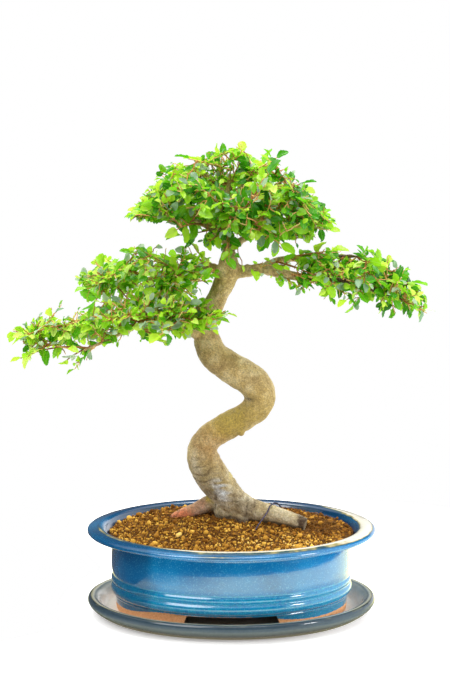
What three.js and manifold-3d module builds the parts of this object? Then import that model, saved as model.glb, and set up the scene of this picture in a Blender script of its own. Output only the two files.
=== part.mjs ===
// Chinese elm bonsai in a glazed oval pot on its drip tray.
// Millimetres, +Z up. The origin is the middle of the tray's underside, +X is to the viewer's right, +Y away.
import * as THREE from "three";
import { mergeVertices } from "three/addons/utils/BufferGeometryUtils.js";
import Module from "manifold-3d";

const wasm = await Module();
wasm.setup();

// Driving dimensions.
const GAP = 0.3; // between pieces that touch
const ROUND = 40; // sides of each oval
const CATMULL = 0.5; // how tightly the limbs' curves follow their points

const TRAY = { length: 250, depth: 180, height: 16.5, floor: 4.7, foot: 226 };
const POT = {
  length: 250,
  depth: 191,
  height: 73.3,
  foot: 14,
  floor: 6,
  wall: 6.5,
  lip: 16,
  overhang: 21, // how far the lip stands out past the wall
  core: 80, // inside this half length the ovals grow alike both ways
};
// The opening in the foot ring, front and back.
const NOTCH = { bottom: 82, top: 73, height: 13, corner: 2.5 };
const DRAIN = { radius: 7, at: 45 };
const DRAIN_MESH = { side: 30, thick: 1, cells: 2, bar: 2.6 };
const SOIL = { edge: 73.5, mound: 8, lump: 0.9, middle: [-4, 16], spread: [95, 72], crumb: 1.5 };
const WIRE = { thick: 1.3, at: [36.8, 0.2, 85.4], reach: 11.4, lean: [-0.63, -0.77], buried: 9 };
const LEAF = { long: 17.5, wide: 10.4, thick: 0.7, stalk: 0.6, first: 5.5, step: 7, most: 7, tries: 8 };
// Half a twig's thickness at its branch and at its tip, its length, and where on the branches it may start.
const TWIG = { half: 0.75, tip: 0.5, long: 44, least: 16, after: 6, above: 240 };

const potBase = TRAY.floor + GAP;
const potFloor = potBase + POT.foot + POT.floor;

const vec = (p) => new THREE.Vector3(p[0], p[1], p[2]);

// Solids: a closed three.js geometry made ready to be cut and joined, and back.
function solid(geometry) {
  const bare = geometry.clone();
  bare.deleteAttribute("normal");
  bare.deleteAttribute("uv");
  const merged = mergeVertices(bare, 1e-3);
  return new wasm.Manifold(
    new wasm.Mesh({
      numProp: 3,
      vertProperties: merged.attributes.position.array,
      triVerts: new Uint32Array(merged.index.array),
    }),
  );
}

function geometryOf(body) {
  const made = body.getMesh();
  return new THREE.BufferGeometry()
    .setAttribute("position", new THREE.BufferAttribute(made.vertProperties, 3))
    .setIndex(new THREE.BufferAttribute(made.triVerts, 1));
}

const joined = (bodies) => bodies.reduce((all, one) => all.add(one));

// The largest piece left by a cut, so that no scrap stays behind.
function largest(body) {
  return body.decompose().reduce((a, b) => (a.volume() > b.volume() ? a : b));
}

// The same even scatter in every run: a number from 0 to 1 for each whole number.
function chance(n) {
  const s = Math.sin(n * 12.9898 + 4.1414) * 43758.5453;
  return s - Math.floor(s);
}

// Ovals: a profile of [half length, height] turned about Z, its depth smaller by a fixed amount.
function oval(profile, narrower, roundFrom, sides = ROUND) {
  const turned = new THREE.LatheGeometry(
    profile.map(([x, z]) => new THREE.Vector2(x, z)),
    sides,
  ).rotateX(Math.PI / 2);
  const place = turned.attributes.position;
  for (let i = 0; i < place.count; i++) {
    const half = Math.hypot(place.getX(i), place.getY(i));
    const depth = half > roundFrom ? half - narrower : (half * (roundFrom - narrower)) / roundFrom;
    if (half > 0) place.setY(i, (place.getY(i) * depth) / half);
  }
  return turned;
}

// Drip tray.
function tray() {
  const half = TRAY.length / 2;
  const foot = TRAY.foot / 2;
  const narrower = (TRAY.length - TRAY.depth) / 2;
  return oval(
    [
      [0, 0],
      [foot, 0],
      [half - 6, 6],
      [half - 0.8, 10.5],
      [half, 12.5],
      [half - 0.8, TRAY.height - 1],
      [half - 3.5, TRAY.height],
      [half - 9, TRAY.height - 1.6],
      [half - 13, 7.5],
      [half - 16, TRAY.floor],
      [0, TRAY.floor],
    ],
    narrower,
    foot - 12,
  );
}

// Pot: a foot ring, two moulded bands, a plain wall and a wide flared lip.
function potProfile() {
  const half = POT.length / 2;
  const wall = half - POT.overhang;
  const top = POT.height;
  const inner = wall - POT.wall;
  return [
    [0, POT.foot],
    [89, POT.foot],
    [90, 0],
    [100, 0],
    [101.5, POT.foot],
    [wall - 1, POT.foot + 1],
    [wall + 0.8, POT.foot + 4.5],
    [wall - 1.2, POT.foot + 7.6],
    [wall + 0.6, POT.foot + 11],
    [wall - 1, POT.foot + 14.4],
    [wall, 62],
    [wall + 3, 65.3],
    [half - 5, 66.8],
    [half - 0.4, 69],
    [half - 1, 71.8],
    [half - 4.5, top],
    [half - POT.lip + 3, top - 0.8],
    [half - POT.lip, top - 4],
    [inner, 62],
    [inner - 1, POT.foot + POT.floor + 5],
    [inner - 6, POT.foot + POT.floor],
    [0, POT.foot + POT.floor],
  ].map(([x, z]) => [x, z + potBase]);
}

const potNarrower = (POT.length - POT.depth) / 2;

function pot() {
  const body = solid(oval(potProfile(), potNarrower, POT.core));
  const notch = new THREE.Shape();
  notch.moveTo(-NOTCH.bottom / 2, -5);
  notch.lineTo(NOTCH.bottom / 2, -5);
  notch.lineTo(NOTCH.bottom / 2, 0);
  notch.lineTo(NOTCH.top / 2 + 1.5, NOTCH.height - NOTCH.corner);
  notch.lineTo(NOTCH.top / 2 - NOTCH.corner, NOTCH.height);
  notch.lineTo(-NOTCH.top / 2 + NOTCH.corner, NOTCH.height);
  notch.lineTo(-NOTCH.top / 2 - 1.5, NOTCH.height - NOTCH.corner);
  notch.lineTo(-NOTCH.bottom / 2, 0);
  const through = new THREE.ExtrudeGeometry(notch, { depth: POT.depth, bevelEnabled: false })
    .rotateX(Math.PI / 2)
    .translate(0, POT.depth / 2, potBase);
  const holes = [-1, 1].map((side) =>
    solid(
      new THREE.CylinderGeometry(DRAIN.radius, DRAIN.radius, 4 * POT.floor, 16)
        .rotateX(Math.PI / 2)
        .translate(side * DRAIN.at, 0, potFloor - POT.floor / 2),
    ),
  );
  return geometryOf(holes.reduce((b, h) => b.subtract(h), body.subtract(solid(through))));
}

// Drainage mesh: a small square of open plastic net over each hole in the pot's floor.
function drainMesh() {
  const { side, thick, cells, bar } = DRAIN_MESH;
  const pitch = (side - bar) / cells;
  let net = solid(new THREE.BoxGeometry(side, side, thick).translate(0, 0, thick / 2));
  for (let i = 0; i < cells; i++) {
    for (let j = 0; j < cells; j++) {
      const x = -side / 2 + (bar + pitch) / 2 + i * pitch;
      const y = -side / 2 + (bar + pitch) / 2 + j * pitch;
      const hole = new THREE.BoxGeometry(pitch - bar, pitch - bar, 4 * thick).translate(x, y, 0);
      net = net.subtract(solid(hole));
    }
  }
  return geometryOf(net);
}

// Wood: a tapered, bent tube through points [x, y, z, radius].
function bent(points) {
  return new THREE.CatmullRomCurve3(points.map(vec), false, "catmullrom", CATMULL);
}

function radiusAt(points, t) {
  const along = t * (points.length - 1);
  const k = Math.min(Math.floor(along), points.length - 2);
  return THREE.MathUtils.lerp(points[k][3], points[k + 1][3], along - k);
}

// Its rings stand square to the curve. grow makes it that much fatter and longer, for the hole it stands in.
function limb(points, sides, steps, grow = 0) {
  const curve = bent(points);
  const tube = new THREE.CylinderGeometry(1, 1, 1, sides, steps);
  const place = tube.attributes.position;
  const out = [];
  let across = new THREE.Vector3(0, 1, 0);
  for (let k = 0; k <= steps; k++) {
    const ahead = curve.getTangent(k / steps);
    across = across.clone().addScaledVector(ahead, -across.dot(ahead)).normalize();
    const over = new THREE.Vector3().crossVectors(ahead, across);
    const lean = k === 0 ? -grow : k === steps ? grow : 0;
    out.push({ at: curve.getPoint(k / steps).addScaledVector(ahead, lean), across, over });
  }
  for (let i = 0; i < place.count; i++) {
    const k = Math.round((0.5 + place.getY(i)) * steps);
    const r = radiusAt(points, k / steps) + grow;
    const p = out[k].at
      .clone()
      .addScaledVector(out[k].across, place.getX(i) * r)
      .addScaledVector(out[k].over, -place.getZ(i) * r);
    place.setXYZ(i, p.x, p.y, p.z);
  }
  return tube;
}

// The tree's bones: x, y, z and radius along each.
const TRUNK = [
  [64, -9, 80.5, 5.8],
  [47, -3.5, 84.5, 7],
  [31, 1.5, 87.5, 8.4],
  [17, 6.5, 90, 10],
  [5.5, 11, 94, 12],
  [-3, 14.5, 100, 13.6],
  [-10, 16.5, 108.5, 14.6],
  [-17, 17, 117.5, 15.2],
  [-23, 15, 129, 14.6],
  [-25, 13, 141, 12.9],
  [-20, 12, 151, 11.8],
  [-10, 11, 159, 11.4],
  [2, 10, 166, 11.6],
  [14, 8, 173, 11.6],
  [22.5, 6, 182, 12.8],
  [24, 5, 193, 13.8],
  [18, 4, 203.5, 14.2],
  [6, 5, 211, 13.8],
  [-6, 6, 218, 13.2],
  [-16, 7, 227, 12.4],
  [-21, 8, 239, 11.4],
  [-22, 8, 251, 9.8],
  [-17, 6, 266, 8.6],
  [-11, 5, 278, 8.2],
  [-6, 4, 289, 9.2],
  [-3, 3, 299, 10.4],
  [-2, 3, 308, 8],
  [-3, 4, 321, 4.8],
  [-4, 5, 341, 3.6],
  [-4, 5, 360, 2.6],
  [-1, 4, 384, 1.2],
];
const ROOTS = {
  down: [
    [-6, 16, 102, 11],
    [-4, 17, 89, 12],
    [1, 18, 77, 11.5],
    [4, 20, 64, 9],
  ],
  left: [
    [-8, 17, 97, 8],
    [-21, 20, 91, 7.2],
    [-31, 21.5, 86, 5.8],
    [-41, 22, 81, 4.2],
    [-52, 22, 76.5, 2.2],
    [-60, 21, 70, 1.2],
  ],
  front: [
    [4, 8, 86, 7],
    [12, 0, 80.5, 4.4],
    [18, -6, 76.5, 2.8],
    [22, -10, 69, 1.6],
  ],
  back: [
    [-4, 22, 90, 9],
    [-12, 40, 79, 6],
    [-20, 56, 68, 2.6],
  ],
};
const BRANCHES = {
  right: [
    [-3, 3, 298, 7],
    [13, 1, 299, 4.9],
    [26, -2, 301, 4.6],
    [40, -6, 298.5, 4.3],
    [56, -9, 295.5, 3.4],
    [74, -12, 295, 2.7],
    [97, -14, 292, 2],
    [122, -14, 284, 1.6],
    [144, -12, 276, 0.9],
  ],
  rightFork: [
    [24, -2, 300.5, 3.4],
    [37, 6, 307, 2.8],
    [56, 16, 308, 2.3],
    [80, 22, 309, 1.8],
    [106, 22, 309, 1.3],
    [128, 18, 305, 0.9],
  ],
  leftUpper: [
    [-6, 4, 296, 5],
    [-16, 8, 301, 3.6],
    [-25, 13, 302, 3.2],
    [-36, 18, 299, 2.7],
    [-52, 22, 293, 2.2],
    [-74, 24, 289, 1.7],
    [-100, 22, 284, 0.9],
  ],
  leftLower: [
    [-22, 8, 240, 7],
    [-33, 0, 248, 4.4],
    [-45, -9, 257, 3.5],
    [-60, -17, 263, 2.9],
    [-80, -22, 265, 2.4],
    [-104, -24, 262, 1.9],
    [-130, -22, 257, 1.5],
    [-156, -19, 247, 1.1],
    [-174, -17, 240, 0.8],
  ],
  leftFront: [
    [-60, -17, 263, 2.2],
    [-76, -32, 258, 1.7],
    [-98, -42, 249, 1.3],
    [-122, -44, 238, 1],
  ],
  crownRight: [
    [-3, 4, 316, 4],
    [14, -4, 329, 2.6],
    [36, -11, 337, 1.8],
    [50, -13, 340, 1],
  ],
  crownLeft: [
    [-3, 4, 322, 3.6],
    [-22, -2, 338, 2.5],
    [-38, -7, 346, 1.8],
    [-52, -9, 350, 1],
  ],
  crownFront: [
    [-3, 4, 330, 3],
    [0, -16, 343, 2.1],
    [6, -38, 348, 1],
  ],
  crownBackRight: [
    [-4, 5, 334, 3],
    [10, 22, 347, 2],
    [28, 40, 351, 1],
  ],
  crownBackLeft: [
    [-4, 5, 342, 3],
    [-18, 22, 355, 2],
    [-36, 38, 358, 1],
  ],
  crownTopRight: [
    [-4, 5, 356, 2.4],
    [12, 4, 373, 1.6],
    [30, 0, 386, 0.9],
  ],
  crownTopLeft: [
    [-4, 5, 362, 2.3],
    [-18, 4, 377, 1.5],
    [-34, 0, 386, 0.9],
  ],
};
// Where a twig was cut away and the bark has healed over: x, y, z and radius.
const KNOBS = [
  [8.5, 3, 158.5, 3.6],
  [-28, 5, 246, 4.6],
  [2, -3, 303, 5],
];

function tree(grow = 0) {
  const wood = [limb(TRUNK, 12, 38, grow)];
  for (const root of Object.values(ROOTS)) wood.push(limb(root, 7, Math.round(1.5 * root.length), grow));
  for (const [name, branch] of Object.entries(BRANCHES)) {
    const sides = name.startsWith("crown") ? 4 : 5;
    wood.push(limb(branch, sides, Math.round(1.3 * branch.length), grow));
  }
  for (const [x, y, z, r] of KNOBS) {
    wood.push(new THREE.IcosahedronGeometry(r + grow, 0).translate(x, y, z));
  }
  return joined(wood.map(solid));
}

// Training wire: an arch over the cut root, both ends pushed into the soil.
function anchorWire(grow = 0) {
  const middle = vec(WIRE.at);
  const lean = new THREE.Vector3(WIRE.lean[0], WIRE.lean[1], 0);
  const arch = [-10, 25, 60, 95, 130, 165, 192].map((degrees) => {
    const a = THREE.MathUtils.degToRad(degrees);
    return middle
      .clone()
      .addScaledVector(lean, Math.cos(a) * WIRE.reach)
      .add(new THREE.Vector3(0, 0, Math.sin(a) * WIRE.reach));
  });
  const front = arch[0].clone().addScaledVector(lean, 6).setZ(arch[0].z - WIRE.buried - grow);
  const back = arch[arch.length - 1].clone().addScaledVector(lean, -3);
  back.z -= WIRE.buried + grow;
  const route = new THREE.CatmullRomCurve3([front, ...arch, back]);
  const section = new THREE.Shape();
  section.absarc(0, 0, WIRE.thick / 2 + grow, 0, 2 * Math.PI);
  return new THREE.ExtrudeGeometry(section, {
    extrudePath: route,
    steps: 20,
    curveSegments: 3,
    bevelEnabled: false,
  });
}

// Soil: a low mound of crumbs that fills the pot.
function soilTop(x, y) {
  const away = Math.hypot((x - SOIL.middle[0]) / SOIL.spread[0], (y - SOIL.middle[1]) / SOIL.spread[1]);
  const lumps = Math.sin(x * 0.41 + 1.3 * Math.sin(y * 0.23)) * Math.sin(y * 0.47 + 0.9 * Math.sin(x * 0.19));
  return SOIL.edge + SOIL.mound * Math.max(0, 1 - away * away) + SOIL.lump * lumps;
}

// How far the crumbs stand up at a place: an uneven wave with a crumb's spacing.
function crumbHeight(x, y) {
  const across = Math.sin(1.71 * x + 2.3 * Math.sin(0.9 * y));
  const away = Math.cos(1.93 * y + 1.9 * Math.sin(0.8 * x));
  return SOIL.crumb * across * away;
}

function soil(wood, wire) {
  const inner = POT.length / 2 - POT.overhang - POT.wall - GAP;
  const rim = inner + 8.6;
  const rings = [0.9, 0.8, 0.7, 0.6, 0.49, 0.37, 0.25, 0.13];
  const body = oval(
    [
      [0, potFloor + GAP],
      [inner - 6.6, potFloor + GAP],
      [inner - 1.4, potFloor + 5.5],
      [inner, potBase + 62.4],
      [rim, SOIL.edge],
      ...rings.map((r) => [rim * r, SOIL.edge + 1]),
      [0, SOIL.edge + 1],
    ],
    potNarrower,
    POT.core,
  );
  const place = body.attributes.position;
  for (let i = 0; i < place.count; i++) {
    const x = place.getX(i);
    const y = place.getY(i);
    if (place.getZ(i) > SOIL.edge + 0.5) place.setZ(i, soilTop(x, y) + crumbHeight(x, y));
  }
  const nets = [-1, 1].map((side) =>
    solid(
      new THREE.BoxGeometry(DRAIN_MESH.side + 2 * GAP, DRAIN_MESH.side + 2 * GAP, 10)
        .translate(side * DRAIN.at, 0, potFloor + 2 * GAP + DRAIN_MESH.thick - 5),
    ),
  );
  return largest([wood, wire, ...nets].reduce((b, cut) => b.subtract(cut), solid(body)));
}

// Foliage: each pad is an ellipsoid, tilted by slope, whose surface its leafy shoots grow out to.
const CROWN = [
  "crownRight",
  "crownLeft",
  "crownFront",
  "crownBackRight",
  "crownBackLeft",
  "crownTopRight",
  "crownTopLeft",
  "trunk",
];
const PADS = [
  {
    name: "crown",
    middle: [3, 2, 355],
    half: [74, 56, 50],
    slope: -0.04,
    lowest: -0.8,
    shoots: 20,
    from: CROWN,
  },
  {
    name: "left_upper",
    middle: [-76, 14, 293],
    half: [52, 42, 26],
    slope: 0.2,
    lowest: -0.9,
    shoots: 8,
    from: ["leftUpper"],
  },
  {
    name: "left_middle",
    middle: [-84, -26, 255],
    half: [46, 34, 17],
    slope: 0,
    lowest: -0.9,
    shoots: 7,
    from: ["leftLower", "leftFront"],
  },
  {
    name: "left_outer",
    middle: [-152, -24, 241],
    half: [30, 28, 24],
    slope: 0.1,
    lowest: -0.95,
    shoots: 6,
    from: ["leftLower", "leftFront"],
  },
  {
    name: "right",
    middle: [104, 3, 293],
    half: [56, 40, 25],
    slope: -0.15,
    lowest: -0.9,
    shoots: 10,
    from: ["right", "rightFork"],
  },
];
const ALONG = 48; // places looked at along each branch
const CLEAR = { leaf: 3.3, own: 2.5, twig: 2.7, wood: 2.2, line: 3.2, start: 1.7, stalk: 1.9, seat: 4 };
const OUTER_HALF = 10; // the first of a leaf's places that lies in its outer part

// Places along each branch, with the wood's radius there.
const bones = Object.fromEntries(
  Object.entries({ trunk: TRUNK, ...BRANCHES }).map(([name, points]) => {
    const curve = bent(points);
    const line = [];
    for (let k = 0; k <= ALONG; k++) {
      line.push({ at: curve.getPoint(k / ALONG), radius: radiusAt(points, k / ALONG) });
    }
    return [name, line];
  }),
);
const allWood = Object.values(bones).flat();

const woodNear = (p, room) => allWood.some((b) => p.distanceTo(b.at) < b.radius + room);
const near = (points, others, room) => points.some((p) => others.some((q) => p.distanceTo(q) < room));

// Even directions over the part of a ball above a given height.
function direction(i, count, lowest) {
  const up = lowest + ((1 - lowest) * (i + 0.5)) / count;
  const out = Math.sqrt(1 - up * up);
  const turn = i * 2.39996 + 0.6;
  return new THREE.Vector3(out * Math.cos(turn), out * Math.sin(turn), up);
}

function padPoint(pad, aim, reach) {
  const p = vec(pad.middle).add(aim.clone().multiply(vec(pad.half)).multiplyScalar(reach));
  p.z += pad.slope * (p.x - pad.middle[0]);
  return p;
}

// Nine places on a shoot's bent line.
function shootLine(start, tip, serial) {
  const span = start.distanceTo(tip);
  const bend = start.clone().lerp(tip, 0.5);
  bend.x += 0.16 * span * (chance(serial + 910) - 0.5);
  bend.y += 0.16 * span * (chance(serial + 920) - 0.5);
  bend.z += 0.2 * span * (chance(serial + 900) - 0.25);
  return Array.from({ length: 9 }, (_, k) => {
    const t = k / 8;
    return start
      .clone()
      .multiplyScalar((1 - t) * (1 - t))
      .addScaledVector(bend, 2 * t * (1 - t))
      .addScaledVector(tip, t * t);
  });
}

// Places all along a line, four to each stretch.
function alongLine(line) {
  return line.slice(1).flatMap((p, k) => [0.25, 0.5, 0.75, 1].map((share) => line[k].clone().lerp(p, share)));
}

// A shoot starts where its branches lie a twig's length from its tip, or as near that as its way is free.
function startShoot(pad, i, serial, lines) {
  const taken = lines.flatMap((line) => line.whole);
  const seats = lines.map((line) => line.seat);
  const aim = direction(i, pad.shoots, pad.lowest);
  const tip = padPoint(pad, aim, 0.84 + 0.16 * chance(serial));
  const starts = pad.from.flatMap((name) =>
    bones[name].map((root, k) => ({ root, k, far: Math.abs(root.at.distanceTo(tip) - TWIG.long) })),
  );
  const free = starts
    .filter(({ root, k }) => k >= TWIG.after && root.at.z > TWIG.above)
    .filter(({ root }) => root.at.distanceTo(tip) > TWIG.least)
    .filter(({ root }) => !near([root.at], seats, CLEAR.seat))
    .sort((a, b) => a.far - b.far);
  for (const { root } of free) {
    const line = shootLine(root.at, tip, serial);
    const whole = alongLine(line);
    const open = whole.filter((p) => p.distanceTo(root.at) > root.radius + CLEAR.seat);
    const blocked = open.some((p) => woodNear(p, CLEAR.start)) || near(whole, taken, CLEAR.line);
    if (!blocked) return { line, whole };
  }
  return null;
}

// The place a length back from the tip of a line, and the way it runs there.
function backFromTip(line, back) {
  let left = back;
  for (let k = line.length - 1; k > 0; k--) {
    const stretch = line[k].distanceTo(line[k - 1]);
    if (left <= stretch || k === 1) {
      const at = line[k].clone().lerp(line[k - 1], Math.min(1, left / stretch));
      return { at, ahead: line[k].clone().sub(line[k - 1]).normalize() };
    }
    left -= stretch;
  }
  return null;
}

// The flat of a shoot at one place: look is the way its upper face looks, out of the pad and up.
function shootFrame(shoot, at, ahead, attempt) {
  const dice = (k) => chance(shoot.serial * 61 + attempt * 13 + k * 1.7) - 0.5;
  const up = at.clone().sub(vec(shoot.pad.middle)).divide(vec(shoot.pad.half)).normalize();
  up.add(new THREE.Vector3(1.5 * dice(0), 1.5 * dice(1) - 0.1, 0.5 + 0.6 * dice(2)));
  const look = up.addScaledVector(ahead, -up.dot(ahead)).normalize();
  return { look, side: look.clone().cross(ahead).normalize() };
}

// A leaf at one seat of a shoot: n counts from the tip, and the leaves lie left and right by turns.
function leafPlace(shoot, n, attempt) {
  const back = n === 0 ? 0 : LEAF.first + LEAF.step * (n - 1);
  if (back > shoot.length - 7) return null;
  const { at, ahead } = backFromTip(shoot.line, back);
  const { look: flat, side } = shootFrame(shoot, at, ahead, attempt);
  const dice = (k) => chance(shoot.serial * 37 + n * 7 + attempt * 11 + k * 2.3) - 0.5;
  const hand = n === 0 ? 0 : (n + shoot.serial) % 2 ? 1 : -1;
  const point = ahead
    .clone()
    .multiplyScalar(hand ? 0.5 + 0.24 * dice(0) : 1)
    .addScaledVector(side, 0.86 * hand)
    .addScaledVector(flat, 0.5 * dice(1))
    .normalize();
  const look = flat.clone().addScaledVector(side, 0.9 * dice(2));
  look.addScaledVector(point, -look.dot(point)).normalize();
  const across = look.clone().cross(point).normalize();
  const size = (hand ? 1 : 0.92) * (1 + 0.36 * dice(3));
  const long = LEAF.long * size;
  const wide = LEAF.wide * size * (1 + 0.2 * dice(4));
  return { hand, back, at: at.addScaledVector(side, hand * TWIG.half), point, across, look, long, wide };
}

// Places spread over a leaf, by which its room is measured.
function leafPlaces(leaf) {
  const places = [];
  for (const along of [0.2, 0.36, 0.52, 0.68, 0.84, 1]) {
    const half = along === 1 ? 0 : 0.5 * Math.sin(Math.PI * (0.12 + 0.8 * along));
    for (const over of half ? [-half, -half / 2, 0, half / 2, half] : [0]) {
      places.push(
        leaf.at
          .clone()
          .addScaledVector(leaf.point, along * leaf.long)
          .addScaledVector(leaf.across, over * leaf.wide)
          .addScaledVector(leaf.look, leaf.long * (0.16 * Math.abs(over) - 0.14 * along * along)),
      );
    }
  }
  return places;
}

// Whether a leaf would touch another leaf, a twig or the wood.
function crowded(shoot, leaf, places, placed, lines) {
  for (const one of placed) {
    const reach = leaf.long + one.leaf.long;
    if (one.leaf.at.distanceTo(leaf.at) > reach + CLEAR.leaf) continue;
    if (near(places, one.places, one.serial === shoot.serial ? CLEAR.own : CLEAR.leaf)) return true;
  }
  for (const line of lines) {
    const own = line.serial === shoot.serial;
    const tested = own ? places.slice(OUTER_HALF) : places;
    if (near(tested, line.whole, own ? CLEAR.stalk : CLEAR.twig)) return true;
  }
  return places.some((p) => woodNear(p, CLEAR.wood));
}

// The shoots' own bent lines, each with its way kept free of the others.
function shootLines() {
  const shoots = [];
  const lines = [];
  let serial = 0;
  for (const pad of PADS) {
    for (let i = 0; i < pad.shoots; i++) {
      serial += 1;
      const made = startShoot(pad, i, serial, lines);
      if (!made) continue;
      lines.push({ serial, whole: made.whole, seat: made.line[0] });
      const name = pad.name + "_shoot_" + String(i + 1).padStart(2, "0");
      shoots.push({ name, pad, serial, line: made.line, length: lengthOf(made.line), leaves: [] });
    }
  }
  return { shoots, lines };
}

function lengthOf(line) {
  return line.slice(1).reduce((sum, p, k) => sum + p.distanceTo(line[k]), 0);
}

// All the shoots with the leaves that have room: each one rolled a few times, and the fullest kept.
function grow() {
  const { shoots, lines } = shootLines();
  const placed = [];
  for (const shoot of shoots) {
    let best = [];
    for (let attempt = 0; attempt < LEAF.tries; attempt++) {
      const here = [];
      for (let n = 0; n < LEAF.most; n++) {
        const leaf = leafPlace(shoot, n, attempt);
        if (!leaf) break;
        const places = leafPlaces(leaf);
        if (crowded(shoot, leaf, places, [...placed, ...here], lines)) continue;
        here.push({ serial: shoot.serial, leaf, places });
      }
      if (here.length > best.length) {
        best = here;
        shoot.attempt = attempt;
      }
    }
    placed.push(...best);
    shoot.leaves = best.map((one) => one.leaf);
  }
  return shoots;
}

// A shoot: one thin bent blade, the twig's strip with its leaves hung on the strip's two edges.
// Half of a leaf's outline: how far along it, and how far out, as shares of its length and width.
const LEAF_EDGE = [
  [0.24, 0.32],
  [0.5, 0.5],
  [0.79, 0.35],
];

// A leaf's outline corners, from one side of its stalk round its tip to the other.
function leafOutline(leaf) {
  const corners = [
    ...LEAF_EDGE.map(([along, over]) => [along, -over]),
    [1, 0],
    ...LEAF_EDGE.toReversed(),
  ];
  return corners.map(([along, over]) => {
    const arch = leaf.long * (0.16 * Math.abs(over) - 0.14 * along * along);
    const at = leaf.at
      .clone()
      .addScaledVector(leaf.point, along * leaf.long)
      .addScaledVector(leaf.across, over * leaf.wide)
      .addScaledVector(leaf.look, arch);
    return { at, look: leaf.look, half: LEAF.thick / 2 };
  });
}

// A corner of the twig's strip: back from its tip, on its left (-1) or its right (1) edge.
function twigCorner(shoot, back, hand) {
  const { at, ahead } = backFromTip(shoot.line, back);
  const { look, side } = shootFrame(shoot, at, ahead, shoot.attempt);
  const half = THREE.MathUtils.lerp(TWIG.tip, TWIG.half, back / shoot.length);
  return { back, at: at.addScaledVector(side, hand * half), look, half };
}

// The corners of a shoot's upper face, and the triangles between them.
function shootFace(shoot) {
  const corners = [];
  const faces = [];
  const add = (corner) => corners.push(corner) - 1;
  const hang = (first, outline, last) => {
    const ring = [first, ...outline.map(add), last];
    let [a, b] = [0, ring.length - 1];
    for (; b - a > 2; a++, b--) {
      faces.push([ring[a], ring[a + 1], ring[b - 1]]);
      faces.push([ring[a], ring[b - 1], ring[b]]);
    }
    faces.push([ring[a], ring[a + 1], ring[b]]);
  };
  const edge = (hand) => {
    const leaves = shoot.leaves.filter((leaf) => leaf.hand === hand);
    const backs = [0, 0.25, 0.5, 0.75, 1]
      .map((share) => share * shoot.length)
      .filter((back) => back === 0 || leaves.every((leaf) => Math.abs(leaf.back - back) > 3));
    for (const leaf of leaves) backs.push(leaf.back + LEAF.stalk, leaf.back - LEAF.stalk);
    const strip = backs
      .sort((a, b) => b - a)
      .map((back) => ({ back, index: add(twigCorner(shoot, back, hand)) }));
    for (const leaf of leaves) {
      const k = strip.findIndex(({ back }) => back === leaf.back + LEAF.stalk);
      const [lower, upper] = [strip[k].index, strip[k + 1].index];
      if (hand < 0) hang(lower, leafOutline(leaf), upper);
      else hang(upper, leafOutline(leaf), lower);
    }
    return strip;
  };
  const left = edge(-1);
  const right = edge(1);
  for (let i = 0, j = 0; i < left.length - 1 || j < right.length - 1; ) {
    const leftNext = j === right.length - 1 || (i < left.length - 1 && left[i + 1].back >= right[j + 1].back);
    faces.push([left[i].index, leftNext ? left[i + 1].index : right[j + 1].index, right[j].index]);
    if (leftNext) i += 1;
    else j += 1;
  }
  const tipLeaf = shoot.leaves.find((leaf) => leaf.hand === 0);
  if (tipLeaf) hang(left.at(-1).index, leafOutline(tipLeaf), right.at(-1).index);
  return { corners, faces };
}

// The blade: its upper face, the same face below, and a wall along each side that only one triangle has.
function shootSolid(shoot, wood) {
  const { corners, faces } = shootFace(shoot);
  const count = corners.length;
  const sides = new Set(faces.flatMap(([a, b, c]) => [a * count + b, b * count + c, c * count + a]));
  const index = faces.flatMap(([a, b, c]) => [a, b, c, c + count, b + count, a + count]);
  for (const side of sides) {
    const [a, b] = [Math.floor(side / count), side % count];
    if (!sides.has(b * count + a)) index.push(a, a + count, b + count, a, b + count, b);
  }
  const places = [1, -1].flatMap((way) => corners.flatMap(({ at, look, half }) =>
    at.clone().addScaledVector(look, way * half).toArray(),
  ));
  const blade = new THREE.BufferGeometry();
  blade.setAttribute("position", new THREE.Float32BufferAttribute(places, 3));
  blade.setIndex(index);
  return largest(solid(blade).subtract(wood));
}

// Finishes.
const finish = (color, roughness) => new THREE.MeshStandardMaterial({ color, roughness, metalness: 0 });
const BLUE_GLAZE = finish("#0f5f9e", 0.12);
const TRAY_GLAZE = finish("#5c6f80", 0.15);
const BARK = finish("#a08a62", 0.85);
const SOIL_BROWN = finish("#8a5a22", 0.95);
const WIRE_DARK = finish("#4a4450", 0.5);
const NET = finish("#2b2b2b", 0.7);
const LEAF_GREEN = finish("#4c9a1e", 0.45);

function piece(name, geometry, material) {
  const mesh = new THREE.Mesh(geometry, material);
  mesh.name = name;
  return mesh;
}

// The assembly.
const bonsai = new THREE.Group();
const woodHole = tree(GAP + 0.05);
bonsai.add(piece("drip_tray", tray(), TRAY_GLAZE));
bonsai.add(piece("pot", pot(), BLUE_GLAZE));
for (const side of [-1, 1]) {
  const net = piece("drain_mesh_" + (side < 0 ? "left" : "right"), drainMesh(), NET);
  net.position.set(side * DRAIN.at, 0, potFloor + GAP);
  bonsai.add(net);
}
bonsai.add(piece("soil", geometryOf(soil(woodHole, solid(anchorWire(GAP)))), SOIL_BROWN));
bonsai.add(piece("trunk", geometryOf(tree()), BARK));
bonsai.add(piece("anchor_wire", anchorWire(), WIRE_DARK));
for (const shoot of grow()) {
  bonsai.add(piece(shoot.name, geometryOf(shootSolid(shoot, woodHole)), LEAF_GREEN));
}

export default bonsai;
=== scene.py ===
"""Chinese elm bonsai in a glazed oval pot on its drip tray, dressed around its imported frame.

Sizes are in millimetres up to make_piece, which turns them to metres. +Z is up, +X is to the viewer's
right and +Y away; the origin is the middle of the drip tray's underside.
"""

from __future__ import annotations

import logging
import math
from collections.abc import Sequence
from dataclasses import dataclass, field, replace
from enum import Enum

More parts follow.
